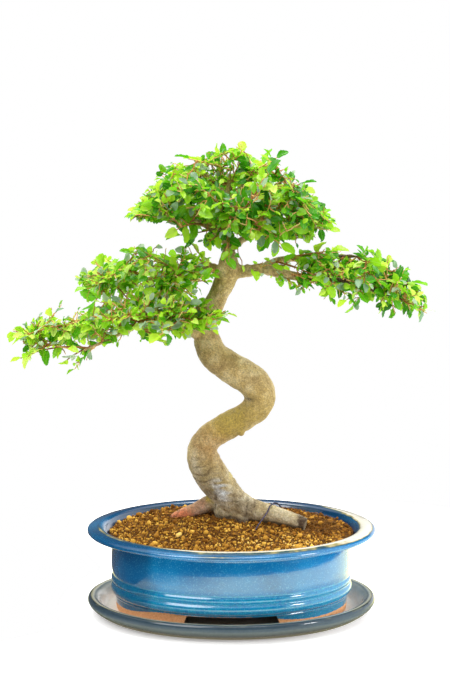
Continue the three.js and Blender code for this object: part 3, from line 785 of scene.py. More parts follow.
@dataclass
class Pot:
    """The glazed oval pot, in millimetres; heights are from its foot."""

    length: float = 250
    depth: float = 191
    base: float = 5.0
    notch_bottom: float = 82
    notch_top: float = 73
    notch_height: float = 13
    drain_radius: float = 7
    drain_at: float = 45
    core: float = 80
    sides: int = 320

    def profile(self) -> Array:
        """Half length and height from under the floor, out round the wall and lip, and in to the floor.

        Returns:
            The points, one a row.
        """
        return np.array(
            [
                [0, 14], [45, 14], [70, 14], [81, 14], [86, 14], [88.6, 13.4], [89.4, 11.5], [89.9, 2.4],
                [90.4, 0.6], [91.8, 0], [98.2, 0], [99.6, 0.5], [100.2, 2], [101.2, 11.8], [101.6, 13],
                [101.3, 13.7], [102, 14.6], [103.5, 15.8], [104.4, 17.6], [104.8, 19.8], [104.3, 21.9],
                [103.2, 23.3], [103, 24.1], [103.8, 25.4], [104.4, 27.2], [104.1, 29], [103.3, 30.2], [103, 31],
                [103.4, 33], [104, 37], [104.2, 42], [103.9, 50], [103.3, 57], [102.9, 60.5], [103.2, 62.6],
                [104.6, 64.4], [107.5, 65.5], [113, 66.2], [119, 66.8], [122.4, 67.3], [124.1, 68.3], [124.7, 69.6],
                [124.3, 70.9], [122.9, 71.7], [120.2, 72.5], [117, 73.1], [114.4, 73.3], [112, 72.9], [110, 71.5],
                [108.8, 69], [106.5, 66.8], [102, 64.2], [99, 62.4], [97.8, 60], [97.4, 54], [96.8, 30], [96.2, 25],
                [94, 21.6], [91, 20], [86, 20], [75, 20], [50, 20], [0, 20],
            ]
        )

    def build(self, glaze: Material) -> None:
        """Turns the profile, lifts the foot's edge for the notch front and back, and bores the drains.

        Args:
            glaze: its finish.
        """
        keys = self.profile()
        steps = 3
        fine = catmull(keys, np.linspace(0, 1, steps * (len(keys) - 1) + 1))
        fine[:, 1] = np.maximum(fine[:, 1], 0)
        fine[0], fine[-1] = keys[0], keys[-1]
        rows = fine[1:-1]
        turn = self.turns()
        places = oval(rows, turn, (self.length - self.depth) / 2, self.core)
        cheek = (self.notch_bottom - self.notch_top) / 2
        share = ease(self.notch_bottom / 2 - np.abs(places[:, 0]), 0, cheek)
        roof = self.notch_height * np.sqrt(share)
        places[:, 2] = np.maximum(places[:, 2], np.where(np.abs(places[:, 0]) < self.notch_bottom / 2, roof, 0))
        places = np.vstack([places, [[0, 0, 14], [0, 0, 20]]])
        places[:, 2] += self.base
        marks = {
            name: np.concatenate([np.repeat(values, len(turn)), values[[0, -1]]])
            for name, values in self.glazing(rows).items()
        }
        marks["edge"] = self.thin_glaze_and_sheen(places, marks["edge"], marks.pop("fold"))
        # painted shade over the back of the lip's top and the inner wall
        marks["deep"] = np.maximum(marks["deep"], 0.8 * marks.pop("top") * ease(places[:, 1], 0, 45))
        # painted shadow: the left end of the outer wall is darkened with the navy layer
        thick = ease(-places[:, 0] + 3 * wobble(places, 12, seed=5), 62, 74) * ease(-places[:, 1], -10, 20)
        marks["deep"] = np.maximum(marks["deep"], 0.5 * thick * marks["foot"])
        limit = 13.2 - 6.5 * ease(places[:, 0], 10, 70) - 6 * ease(-places[:, 0], 55, 95)
        wiped = np.clip(0.5 + (limit - places[:, 2] + self.base) / 4, -1, 2)
        marks["bare"] = np.maximum(marks["bare"], wiped * marks.pop("foot"))
        piece = make_piece("pot_glazed", places, tube_faces(len(rows), len(turn)), glaze, ["pot"], marks)
        self.bore(piece)

    def glazing(self, rows: Array) -> dict[str, Array]:
        """Where the glaze pools, thins or stops, and where shade is painted inside the lip and under the pot, by the
        profile's own height and half length.

        Args:
            rows: the profile's points.

        Returns:
            A value for each point, by mark.
        """
        half, height = rows[:, 0], rows[:, 1]
        count = np.arange(len(rows))
        crest = int(height.argmax())
        outside = (count < crest) & (half > 95)
        groove = sum(np.exp(-((height - at) ** 2) / 4) for at in (14.8, 23.8, 31))
        low = 0.95 * ease(height, 36, 29)
        pool = np.where(outside, np.clip(np.maximum(groove, low), 0, 1), 0)
        lip = np.where(count >= half.argmax(), ease(half, 109, 113) * ease(-half, -124, -120), 0) * 0.37
        inner = np.where(count >= crest - 9, np.exp(-(((half - 114.8) / 2.4) ** 2)), 0) * 0.95
        fold = np.where(np.abs(height - 71.6) < 2.5, np.exp(-(((half - 123.8) / 1.1) ** 2)), 0)
        hidden = (half < 95) & (count < len(rows) // 2)
        inside = (count > crest) & (half < 99)
        # painted shade under the pot: under its floor and inside the foot ring
        under = (half < 92) & (count < len(rows) // 2)
        return {
            "pool": pool, "edge": np.maximum(lip, inner), "fold": fold,
            # the inner wall below the lip gets painted shade
            "top": np.where(count >= half.argmax(), 1.0, 0.0), "deep": ease(-half, -112, -107) * (count > crest),
            "foot": np.where(outside | hidden, 1.0, 0.0), "bare": np.where(hidden | inside, 1.0, 0.0),
            "damp": np.where(under, 1.0, 0.0),
        }

    def turns(self) -> Array:
        """The angles of a ring's vertices: even, but four times as close near the cheeks of the notch.

        Returns:
            The angles in order.
        """
        way = np.linspace(0, 2 * math.pi, 4096)
        cheek = np.abs(np.abs(np.cos(way)) - 0.41)
        total = np.cumsum(1 + 3 * ease(cheek, 0.07, 0.04))
        even = np.linspace(total[0], total[-1], self.sides, endpoint=False)
        return np.interp(even, total, way)

    def thin_glaze_and_sheen(self, places: Array, edge: Array, fold: Array) -> Array:
        """How thin the glaze is, with a painted reflection: cream along the front of the lip's inner edge and at its
        right end.

        Args:
            places: the pot's vertices.
            edge: the thinness that the profile gives.
            fold: 1 on the lip's outer fold.

        Returns:
            The thinness with the painted reflection at each vertex, from 0 to 1.
        """
        x, y = places[:, 0], places[:, 1]
        right, front = ease(x, 70, 116), ease(y, 20, -25)
        left = ease(x, -75, -25)
        uneven = 0.1 * wobble(places * [1, 1, 0], 20, seed=3)
        # the cream is made stronger at the front and at the right end: a painted reflection of the white surroundings
        # over the thin glaze
        kept = edge * (0.5 + 0.5 * left) * (0.2 + 0.8 * np.maximum(front, right))
        streak = 0.5 * fold * np.exp(-(((x + 12) / 22) ** 2)) * front
        worn = kept + 0.36 * right * ease(edge, 0.02, 0.2) + uneven * ease(kept, 0.2, 0.4)
        return np.clip(np.maximum(worn, streak), 0, 1)

    def bore(self, piece: Object) -> None:
        """Cuts the two round drain holes through the floor.

        Args:
            piece: the pot.
        """
        turn = circle(48)
        for side in (-1, 1):
            x = side * self.drain_at + self.drain_radius * np.cos(turn)
            y = self.drain_radius * np.sin(turn)
            rings = [np.stack([x, y, np.full(48, self.base + z)], -1) for z in (8, 26)]
            poles = [[side * self.drain_at, 0, self.base + z] for z in (8, 26)]
            mesh = new_mesh("drain_cutter", np.vstack([*rings, poles]), tube_faces(2, 48))
            cutter = put("drain_cutter", mesh)
            cut = piece.modifiers.new("drain", "BOOLEAN")
            cut.operation, cut.object, cut.solver = "DIFFERENCE", cutter, "EXACT"
            bpy.context.view_layer.objects.active = piece
            with bpy.context.temp_override(object=piece, active_object=piece):
                bpy.ops.object.modifier_apply(modifier=cut.name)
            bpy.data.objects.remove(cutter)


# Soil.


@dataclass
class Soil:
    """The mound of baked-clay crumbs that fills the pot, in millimetres."""

    edge: float = 73.5
    mound: float = 8
    lump: float = 0.9
    middle: tuple[float, float] = (-4, 16)
    spread: tuple[float, float] = (95, 72)
    rim: float = 105.8
    narrower: float = 29.5
    core: float = 80

    def top(self, x: Array, y: Array) -> Array:
        """The mound's height: a flat dome over the edge, with low waves.

        Args:
            x: each place's x.
            y: each place's y.

        Returns:
            Its z at each place.
        """
        away = np.hypot((x - self.middle[0]) / self.spread[0], (y - self.middle[1]) / self.spread[1])
        waves = np.sin(x * 0.41 + 1.3 * np.sin(y * 0.23)) * np.sin(y * 0.47 + 0.9 * np.sin(x * 0.19))
        return self.edge + self.mound * np.maximum(0, 1 - away * away) + self.lump * waves

    def build(self, earth: Material) -> None:
        """A closed bed under the crumbs: the pot's inside below, and the mound's rough top.

        Args:
            earth: its finish.
        """
        sides, count = 240, 70
        low = np.array([[1, 25.3], [90.6, 25.3], [95.8, 30.8], [97.2, 66.9]])
        rings = self.rim * np.linspace(1, 0.01, count)
        profile = np.vstack([low, np.stack([rings, np.full(count, self.edge)], -1)])
        places = oval(profile, circle(sides), self.narrower, self.core)
        upper = np.arange(len(places)) >= len(low) * sides
        x, y = places[:, 0], places[:, 1]
        rough = 1.1 * wobble(places, 3.4, 11) + 0.8 * wobble(places, 1.8, 12) - 0.9
        places[:, 2] = np.where(upper, self.top(x, y) + rough, places[:, 2])
        places = np.vstack([places, [[0, 0, 25.3], [0, 0, self.top(0, 0)]]])
        # the bed is darker where its rough top dips: painted shade in the hollows
        tone = np.clip(0.25 + 0.5 * rough / 1.9, 0, 1)
        make_piece(
            "soil_bed", places, tube_faces(len(profile), sides), earth, ["soil"],
            {"tone": np.concatenate([tone, [0, 0.3]])},
        )

    def scatter(
        self, name: str, count: int, small: float, large: float, cuts: int, seed: int, keep_out: Array, clay: Material
    ) -> None:
        """Strews crumbs over the mound on a sunflower's spiral, each a lumpy cube-ball turned by chance.

        Args:
            name: the piece's name.
            count: crumbs before those that meet the wood are left out.
            small: the least half width of a crumb.
            large: the greatest.
            cuts: how often each side of the cube is cut.
            seed: the first number of this scatter.
            keep_out: places of the wood with their radii, as [place, 4].
            clay: their finish.
        """
        n = np.arange(count) + 0.5
        reach = np.sqrt(n / count)
        turn = n * 2.39996 + seed
        jitter = chance(n * 3.7 + seed) - 0.5, chance(n * 5.3 + seed) - 0.5
        x = self.rim * 0.99 * reach * np.cos(turn) + 3 * jitter[0]
        y = (self.rim * 0.99 - self.narrower) * reach * np.sin(turn) + 3 * jitter[1]
        inside = (x / (self.rim - 1)) ** 2 + (y / (self.rim - self.narrower - 1)) ** 2 < 1
        half = small + (large - small) * chance(n * 7.9 + seed) ** 2
        z = self.top(x, y) + 0.25 * half
        spots = np.stack([x, y, z], -1)
        apart = np.sqrt(((spots[:, None] - keep_out[None, :, :3]) ** 2).sum(-1)) - keep_out[None, :, 3]
        keep = inside & (apart.min(1) > 0.2 * half)
        spots, half, n = spots[keep], half[keep], n[keep]
        ball, faces = cube_ball(cuts)
        size = half[:, None] * (0.75 + 0.5 * np.stack([chance(n * k + seed) for k in (11.3, 13.1, 17.9)], -1))
        size[:, 2] *= 0.8
        lumps = 1 + 0.5 * (chance(n[:, None] * 31.7 + np.arange(len(ball)) * 0.37) - 0.5)
        shape = ball[None] * lumps[..., None] * size[:, None]
        shape = np.einsum("nij,nvj->nvi", turned(n + seed), shape)
        places = (shape + spots[:, None]).reshape(-1, 3)
        humus = ease(spots[:, 0], 20, 75) * ease(spots[:, 1], -28, -4) + 0.4 * ease(spots[:, 1], 8, 40)
        # crumbs close to the wood are darker: partly humus, partly painted shade round the trunk's foot
        humus = humus + 1.2 * ease(apart.min(1)[keep], 7, 1)
        golden = 0.3 * ease(spots[:, 1], -20, -42) * ease(spots[:, 0], -30, 10) * ease(half, small, large)
        mean = 0.44 * (half / large) ** 0.5 + 0.16 * wobble(spots, 16, 41)
        tone = np.clip(mean + 0.7 * (chance(n * 19.1 + seed) - 0.5) - 0.24 * humus + golden, 0.02, 1)
        make_piece(
            name, places, repeated([faces], len(spots), len(ball)), clay,
            marks={"tone": np.repeat(tone, len(ball))}, smooth=cuts > 1,
        )

    def fibres(self, count: int, earth: Material, keep_out: Array) -> None:
        """Fine dead roots and humus threads that lie on the mound, most of them behind the cut root.

        Args:
            count: how many are tried.
            earth: its finish.
            keep_out: places of the wood with their radii.
        """
        n = np.arange(count) + 1.0
        x0 = np.where(chance(n * 2.1) < 0.6, 30 + 62 * chance(n * 3.3), -90 + 180 * chance(n * 4.7))
        y0 = np.where(chance(n * 2.1) < 0.6, -14 + 42 * chance(n * 5.9), -45 + 100 * chance(n * 6.1))
        inside = (x0 / 92) ** 2 + (y0 / 62) ** 2 < 1
        apart = np.hypot(x0[:, None] - keep_out[None, :, 0], y0[:, None] - keep_out[None, :, 1])
        n, x0, y0 = (v[inside & ((apart - keep_out[None, :, 3]).min(1) > 0.5)] for v in (n, x0, y0))
        t = np.linspace(-0.5, 0.5, 9)[None]
        way = 2 * math.pi * chance(n * 8.3)[:, None] + 1.6 * (chance(n * 9.1)[:, None] - 0.5) * t * 2
        long = (5 + 12 * chance(n * 7.7))[:, None]
        x = x0[:, None] + long * t * np.cos(way)
        y = y0[:, None] + long * t * np.sin(way)
        z = self.top(x, y) + 0.8 + 1.2 * (0.25 - t * t) * chance(n * 12.7)[:, None] * 4
        radii = (0.2 + 0.3 * chance(n * 14.9))[:, None] * (1 - 1.2 * t * t)
        places = sweep(np.stack([x, y, z], -1), radii, 5)
        tone = np.repeat(0.05 + 0.5 * chance(n * 21.3) ** 2, places.shape[1])
        make_piece(
            "soil_fibres", places.reshape(-1, 3), repeated(tube_faces(9, 5), len(places), places.shape[1]), earth,
            marks={"tone": tone},
        )


def cube_ball(cuts: int) -> tuple[Array, Array]:
    """A cube whose sides are cut into a grid and pushed out to a ball, with its corners merged.

    Args:
        cuts: squares along each edge.

    Returns:
        Its vertices at radius one, and its four-sided faces.
    """
    u, v = np.meshgrid(np.linspace(-1, 1, cuts + 1), np.linspace(-1, 1, cuts + 1), indexing="ij")
    flat = np.stack([u.ravel(), v.ravel(), np.ones(u.size)], -1)
    sides = [flat[:, [0, 1, 2]], flat[:, [2, 0, 1]], flat[:, [1, 2, 0]]]
    sides += [s[:, [1, 0, 2]] * -1 for s in sides]
    cells = grid_faces(cuts + 1, cuts + 1, wrapped=False)
    raw = np.round(np.vstack(sides), 6)
    faces = np.concatenate([cells + k * len(flat) for k in range(6)])
    places, index = np.unique(raw, axis=0, return_inverse=True)
    faces = index.reshape(-1)[faces]
    middle = places[faces].mean(1)
    first, second, third = (places[faces[:, k]] for k in range(3))
    inward = (np.cross(second - first, third - first) * middle).sum(1) < 0
    faces[inward] = faces[inward][:, ::-1]
    return unit(places), faces


def turned(n: Array) -> Array:
    """A turn in space for each number, by Rodrigues' formula about an axis and by an angle of chance.

    Args:
        n: one number for each turn.

    Returns:
        A 3 by 3 matrix for each number.
    """
    axis = unit(np.stack([chance(n * k) - 0.5 for k in (1.3, 2.7, 4.1)], -1))
    angle = 2 * math.pi * chance(n * 6.7)
    c, s = np.cos(angle)[:, None, None], np.sin(angle)[:, None, None]
    x, y, z = axis.T
    zero = np.zeros_like(x)
    skew = np.stack([zero, -z, y, z, zero, -x, -y, x, zero], -1).reshape(-1, 3, 3)
    return c * np.eye(3) + s * skew + (1 - c) * axis[:, :, None] * axis[:, None]


# The tree's bones: the solids' named places and radii, but for the ends of the left and front roots.

TRUNK = [
    [64, -9, 80.5, 5.8], [47, -3.5, 84.5, 7], [31, 1.5, 87.5, 8.4], [17, 6.5, 90, 10], [5.5, 11, 94, 12],
    [-3, 14.5, 100, 13.6], [-10, 16.5, 108.5, 14.6], [-17, 17, 117.5, 15.2], [-23, 15, 129, 14.6],
    [-25, 13, 141, 12.9], [-20, 12, 151, 11.8], [-10, 11, 159, 11.4], [2, 10, 166, 11.6], [14, 8, 173, 11.6],
    [22.5, 6, 182, 12.8], [24, 5, 193, 13.8], [18, 4, 203.5, 14.2], [6, 5, 211, 13.8], [-6, 6, 218, 13.2],
    [-16, 7, 227, 12.4], [-21, 8, 239, 11.4], [-22, 8, 251, 9.8], [-17, 6, 266, 8.6], [-11, 5, 278, 8.2],
    [-6, 4, 289, 9.2], [-3, 3, 299, 10.4], [-2, 3, 308, 8], [-3, 4, 321, 4.8], [-4, 5, 341, 3.6], [-4, 5, 360, 2.6],
    [-1, 4, 384, 1.2],
]
ROOTS = {
    "down": [[-6, 16, 102, 11], [-4, 17, 89, 12], [1, 18, 77, 11.5], [4, 20, 64, 9]],
    "left": [
        [-8, 17, 97, 8], [-21, 20, 91, 7.2], [-31, 21.5, 86, 6.2], [-41, 22, 81.6, 5.4], [-49, 22, 78, 4.6],
        [-55, 21.5, 72, 3],
    ],
    "front": [[4, 8, 86, 7], [11, 0, 78.5, 4.4], [15, -4, 73, 2.8], [19, -8, 66, 1.6]],
    "back": [[-4, 22, 90, 9], [-12, 40, 79, 6], [-20, 56, 68, 2.6]],
}
BRANCHES = {
    "right": [
        [-3, 3, 298, 7], [13, 1, 299, 4.9], [26, -2, 301, 4.6], [40, -6, 298.5, 4.3], [56, -9, 295.5, 3.4],
        [74, -12, 295, 2.7], [97, -14, 292, 2], [122, -14, 284, 1.6], [144, -12, 276, 0.9],
    ],
    "rightFork": [
        [24, -2, 300.5, 3.4], [37, 6, 307, 2.8], [56, 16, 308, 2.3], [80, 22, 309, 1.8], [106, 22, 309, 1.3],
        [128, 18, 305, 0.9],
    ],
    "leftUpper": [
        [-6, 4, 296, 5], [-16, 8, 301, 3.6], [-25, 13, 302, 3.2], [-36, 18, 299, 2.7], [-52, 22, 293, 2.2],
        [-74, 24, 289, 1.7], [-100, 22, 284, 0.9],
    ],
    "leftLower": [
        [-22, 8, 240, 7], [-33, 0, 248, 4.4], [-45, -9, 257, 3.5], [-60, -17, 263, 2.9], [-80, -22, 265, 2.4],
        [-104, -24, 262, 1.9], [-130, -22, 257, 1.5], [-156, -19, 247, 1.1], [-174, -17, 240, 0.8],
    ],
    "leftFront": [[-60, -17, 263, 2.2], [-76, -32, 258, 1.7], [-98, -42, 249, 1.3], [-122, -44, 238, 1]],
    "crownRight": [[-3, 4, 316, 4], [14, -4, 329, 2.6], [36, -11, 337, 1.8], [50, -13, 340, 1]],
    "crownLeft": [[-3, 4, 322, 3.6], [-22, -2, 338, 2.5], [-38, -7, 346, 1.8], [-52, -9, 350, 1]],
    "crownFront": [[-3, 4, 330, 3], [0, -16, 343, 2.1], [6, -38, 348, 1]],
    "crownBackRight": [[-4, 5, 334, 3], [10, 22, 347, 2], [28, 40, 351, 1]],
    "crownBackLeft": [[-4, 5, 342, 3], [-18, 22, 355, 2], [-36, 38, 358, 1]],
    "crownTopRight": [[-4, 5, 356, 2.4], [12, 4, 373, 1.6], [30, 0, 386, 0.9]],
    "crownTopLeft": [[-4, 5, 362, 2.3], [-18, 4, 377, 1.5], [-34, 0, 386, 0.9]],
}
KNOBS = [[8.5, 3, 158.5, 3.6], [-28, 5, 246, 4.6], [2, -3, 303, 5]]


@dataclass
class Limb:
    """A tapered, bent stretch of wood through points of x, y, z and radius."""

    points: list[list[float]]

    def line(self, shares: Array) -> Array:
        """Its centre line's place at each share of the way along."""
        return catmull(np.array(self.points, float)[:, :3], shares)

    def radius(self, shares: Array) -> Array:
        """Its radius at each share, straight from point to point."""
        given = np.array(self.points, float)[:, 3]
        return np.interp(shares * (len(given) - 1), np.arange(len(given)), given)

    def tube(self, rings: int, sides: int) -> tuple[Array, Faces]:
        """A round closed tube along it.

        Args:
            rings: rings of vertices.
            sides: vertices in a ring.

        Returns:
            Its vertices and faces.
        """
        shares = np.linspace(0, 1, rings)
        places = sweep(self.line(shares)[None], self.radius(shares)[None], sides)[0]
        return places, tube_faces(rings, sides)


@dataclass
class Wood:
    """Trunk, roots and branches: the stout wood is grown into one skin, and branches are tubes set in it."""

    voxel: float = 1.0
    stout: float = 2.1
    skin_smooth: int = 6
    bed: Soil = field(default_factory=Soil)

    def joined(self, parts: Sequence[tuple[Array, Faces]]) -> tuple[Array, Faces]:
        """Several meshes as one list of vertices and faces.

        Args:
            parts: the vertices and faces of each.

        Returns:
            All vertices and all faces.
        """
        starts = np.cumsum([0, *(len(p) for p, _ in parts)])
        faces = [f + start for (_, group), start in zip(parts, starts) for f in group]
        return np.vstack([p for p, _ in parts]), faces

    def core(self) -> tuple[Array, Faces]:
        """The stout limbs as overlapping tubes, and a ball for each healed cut.

        Returns:
            Its vertices and faces.
        """
        parts = [Limb(TRUNK).tube(240, 40)]
        parts += [Limb(points).tube(60, 24) for points in ROOTS.values()]
        for points in BRANCHES.values():
            thick = [p for p in points if p[3] >= self.stout]
            if len(thick) > 2:
                parts.append(Limb(thick).tube(20 * len(thick), 20))
        turn = np.linspace(0.15, math.pi - 0.15, 9)
        for x, y, z, r in KNOBS:
            line = np.stack([np.full(9, x), np.full(9, y), z - 0.9 * r * np.cos(turn)], -1)
            parts.append((sweep(line[None], (0.95 * r * np.sin(turn))[None], 16)[0], tube_faces(9, 16)))
        return self.joined(parts)

    def skin(self) -> tuple[Array, Faces]:
        """The core's outside as one even skin: remeshed on a grid, smoothed, and read back.

        Returns:
            Its vertices and faces.
        """
        mesh = new_mesh("wood_core", *self.core())
        body = put("wood_core", mesh)
        remesh = body.modifiers.new("one_skin", "REMESH")
        remesh.mode, remesh.voxel_size = "VOXEL", self.voxel * MM
        smooth = body.modifiers.new("even", "SMOOTH")
        smooth.factor, smooth.iterations = 0.5, self.skin_smooth
        done = body.evaluated_get(bpy.context.evaluated_depsgraph_get()).to_mesh()
        places = np.empty(len(done.vertices) * 3)
        done.vertices.foreach_get("co", places)
        corners = np.empty(len(done.loops), np.int32)
        done.loops.foreach_get("vertex_index", corners)
        bpy.data.objects.remove(body)
        return places.reshape(-1, 3) / MM, [corners.reshape(-1, 4)]

    def normals(self, places: Array, quads: Array) -> Array:
        """Each vertex's outward direction: the sum of its faces' crossed diagonals.

        Args:
            places: places in millimetres, one a row.
            quads: four-sided faces.

        Returns:
            One direction of length one a vertex.
        """
        flat = np.cross(places[quads[:, 2]] - places[quads[:, 0]], places[quads[:, 3]] - places[quads[:, 1]])
        total = np.zeros_like(places)
        for k in range(4):
            np.add.at(total, quads[:, k], flat)
        return unit(total)

    def build(self, bark: Material) -> None:
        """Raises the bark's lumps and cracks on the skin, marks its colours, and sets the branches in it.

        Args:
            bark: its finish.
        """
        places, faces = self.skin()
        outward = self.normals(places, faces[0])
        ring = self.rings(places)
        lump = 0.75 * wobble(places, 11) + 0.35 * wobble(places, 4.6, 1) + 0.22 * wobble(places, 2.1, 2)
        crack = -0.8 * ring
        fade = ease(np.abs(places[:, 0] + 8) + 0.35 * np.abs(places[:, 2] - 300), 118, 60)
        moved = places + outward * ((lump + crack) * (0.35 + 0.65 * fade))[:, None]
        make_piece("trunk_bark", moved, faces, bark, ["trunk"], self.colours(moved, crack, outward))
        self.branches(bark)

    def rings(self, places: Array) -> Array:
        """The wrinkles that ring the trunk's foot, from 0 to 1.

        A vertex's place along the trunk is that of the nearest point of its centre line. The wrinkles are
        the peaks of a cosine of that place, 6.5 mm apart, bent and broken up by noise.

        Args:
            places: places in millimetres, one a row.

        Returns:
            A value for each place.
        """
        line = Limb(TRUNK).line(np.linspace(0, 1, 420))
        way = np.concatenate([[0], np.cumsum(np.linalg.norm(np.diff(line, axis=0), axis=1))])
        parts = np.array_split(places, 24)
        nearest = np.concatenate([((part[:, None] - line[None]) ** 2).sum(-1).argmin(1) for part in parts])
        phase = way[nearest] / 6.5 + 0.9 * wobble(places, 17, 31) + 0.3 * wobble(places, 6, 32)
        peak = (0.5 + 0.5 * np.cos(2 * math.pi * phase)) ** 6
        broken = ease(wobble(places, 13, 33), -0.15, 0.45)
        return peak * broken * ease(places[:, 2], 150, 118)

    def colours(self, places: Array, crack: Array, outward: Array) -> dict[str, Array]:
        """Where the bark is grey, mossy or covered with lichen, where a pale highlight is painted (worn), where it is
        flushed or carries a painted pink reflection, and where it is dark, partly with painted shade, from 0 to 1.

        Args:
            places: places in millimetres, one a row.
            crack: the depth of the bark's cracks at each.
            outward: the outward way at each.

        Returns:
            A value for each place, by mark.
        """
        x, y, z = places.T
        rough = wobble(places, 14, 7)
        grey = ease(z, 150, 105) * (0.75 + 0.25 * rough) + 0.25 * ease(rough, 0.1, 0.7)
        moss = 0.35 * ease(wobble(places, 24, 8), 0, 0.6)
        olive = 0.75 * np.exp(-(((z - 168) / 26) ** 2)) * ease(x + z, 130, 160) + moss
        lichen = ease(wobble(places * [1, 1, 0.5], 9, 9), 0.3, 0.7) * ease(z, 150, 112) * ease(z, 92, 98) * (x > -30)
        # a painted highlight: a pale patch on the front of the foot
        worn = np.exp(-(((x + 9 + 0.35 * (z - 108)) / 6) ** 2) - ((z - 108) / 9) ** 2) * (outward[:, 1] < 0)
        worn = worn * ease(wobble(places * [0.35, 1, 1], 2.2, 14), -0.5, 0.5)
        left_root = (0.35 * ease(x, -16, -26) + 0.65 * ease(x + 1.5 * (z - 84), -24, -46)) * ease(z, 101, 92) * (y > 4)
        # a faint painted pink reflection under the lower bend
        under = 0.14 * np.exp(-((x + 20) ** 2 + (z - 150) ** 2) / 260)
        # painted shade on the cut root's end face
        end = ease(x + 1.4 * wobble(places, 3, 15), 55.5, 58.5) * (z > 70)
        # painted shade where the wood meets the soil
        soil_line_shade = 0.85 * ease(z - self.bed.top(x, y) + 1.2 * rough, 4.2, 1.2) * ease(x, -27, -17)
        scar = np.exp(-(((x - 14.5) / 5) ** 2) - ((z - 189.5) / 1.3) ** 2) * (outward[:, 1] < 0)
        pits = ease(wobble(places, 4.5, 21), 0.66, 0.8) * 0.7 * ease(z, 112, 100)
        return {
            "grey": np.clip(grey, 0, 1), "olive": np.clip(olive, 0, 1), "lichen": np.clip(lichen, 0, 1),
            "worn": np.clip(1.5 * worn, 0, 1), "flush_and_reflection": np.clip(0.9 * left_root + under, 0, 1),
            # dark holds painted shade in the wrinkles, on the cut end and along the soil, with the scar's and the
            # pits' own dark colour
            "dark": np.clip(-0.85 * crack + end + soil_line_shade + scar + pits, 0, 1),
        }

    def branches(self, bark: Material) -> None:
        """Each branch as a knobbly tube from inside the skin out to its tip.

        Args:
            bark: its finish.
        """
        rings, sides = 90, 14
        shares = np.linspace(0, 1, rings)
        lines = np.stack([Limb(p).line(shares) for p in BRANCHES.values()])
        radii = np.stack([Limb(p).radius(shares) for p in BRANCHES.values()])
        serial = np.arange(len(lines))[:, None]
        radii *= 0.97 + 0.13 * np.sin(lines[:, :, 0] * 0.55 + serial * 2.1) * np.sin(lines[:, :, 1] * 0.9 + 1)
        lumps = 1 + 0.16 * wobble(np.repeat(lines.reshape(-1, 3), sides, 0) + np.tile(
            np.stack([np.cos(np.arange(sides) * 2.4), np.sin(np.arange(sides) * 2.4), np.zeros(sides)], -1) * 3,
            (rings * len(lines), 1),
        ), 3.5).reshape(len(lines), rings, sides)
        places = sweep(lines, radii, sides, lumps)
        count = places.shape[1]
        flat = places.reshape(-1, 3)
        marks = self.colours(flat, np.zeros(len(flat)), np.ones_like(flat))
        make_piece(
            "branches_bark", flat, repeated(tube_faces(rings, sides), len(places), count), bark, marks=marks
        )


# Wire.


@dataclass
class TrainingWire:
    """The dark wire arched over the cut root, both ends in the soil, in millimetres."""

    thick: float = 1.3
    at: tuple[float, float, float] = (36.8, 0.2, 85.4)
    reach: float = 11.4
    lean: tuple[float, float] = (-0.63, -0.77)
    buried: float = 9
    out: float = 14

    def build(self, metal: Material) -> None:
        """A round wire along the arch, a little uneven.

        Args:
            metal: its finish.
        """
        turn = np.radians([-10, 25, 60, 95, 130, 165, 192])
        lean = np.array([*self.lean, 0])
        arch = np.array(self.at) + np.outer(np.cos(turn) * self.reach, lean)
        arch[:, 2] += np.sin(turn) * self.reach
        foot = arch[0] + [*(self.out * lean[:2]), -0.42 * self.buried]
        back = arch[-1] - lean * 3 - [0, 0, self.buried]
        line = catmull(np.vstack([foot + lean * 3 - [0, 0, 5], foot, arch[1:], back]), np.linspace(0, 1, 90))
        places = sweep(line[None], np.full((1, 90), self.thick / 2), 14)[0]
        make_piece("anchor_wire_round", places, tube_faces(90, 14), metal, ["anchor_wire"])


# Foliage.


@dataclass(frozen=True)
class Pad:
    """One tier of leaves: an ellipsoid, tilted by slope, whose surface its leafy shoots grow out to."""

    name: str
    middle: tuple[float, float, float]
    half: tuple[float, float, float]
    slope: float
    lowest: float
    shoots: int
    sources: tuple[str, ...]


CROWN_BRANCHES = (
    "crownRight", "crownLeft", "crownFront", "crownBackRight", "crownBackLeft", "crownTopRight", "crownTopLeft",
    "trunk",
)
LOW_LEFT = ("leftLower", "leftFront")
PADS = (
    Pad("crown", (3, 2, 355), (74, 56, 50), -0.04, -0.8, 20, CROWN_BRANCHES),
    Pad("left_upper", (-76, 14, 293), (52, 42, 26), 0.2, -0.9, 8, ("leftUpper",)),
    Pad("left_middle", (-84, -26, 255), (46, 34, 17), 0, -0.9, 7, LOW_LEFT),
    Pad("left_outer", (-152, -24, 241), (30, 28, 24), 0.1, -0.95, 6, LOW_LEFT),
    Pad("right", (104, 3, 293), (56, 40, 25), -0.15, -0.9, 10, ("right", "rightFork")),
)


@dataclass(frozen=True)
class Growing:
    """How shoots and leaves are spaced, in millimetres; the same rule as the solids have."""

    twig_half: float = 0.75
    twig_long: float = 44
    twig_least: float = 16
    twig_after: int = 6
    twig_above: float = 240
    leaf_long: float = 17.5
    leaf_wide: float = 10.4
    first: float = 5.5
    step: float = 7
    most: int = 7
    tries: int = 8
    clear_leaf: float = 3.3
    clear_own: float = 2.5
    clear_twig: float = 2.7
    clear_wood: float = 2.2
    clear_line: float = 3.2
    clear_start: float = 1.7
    clear_stalk: float = 1.9
    clear_seat: float = 4
    outer_half: int = 10
    along: int = 48


@dataclass
class Leaf:
    """One leaf: where it hangs, which way it points and faces, and its size."""

    at: Array
    point: Array
    across: Array
    look: Array
    long: float
    wide: float
    serial: int = 0


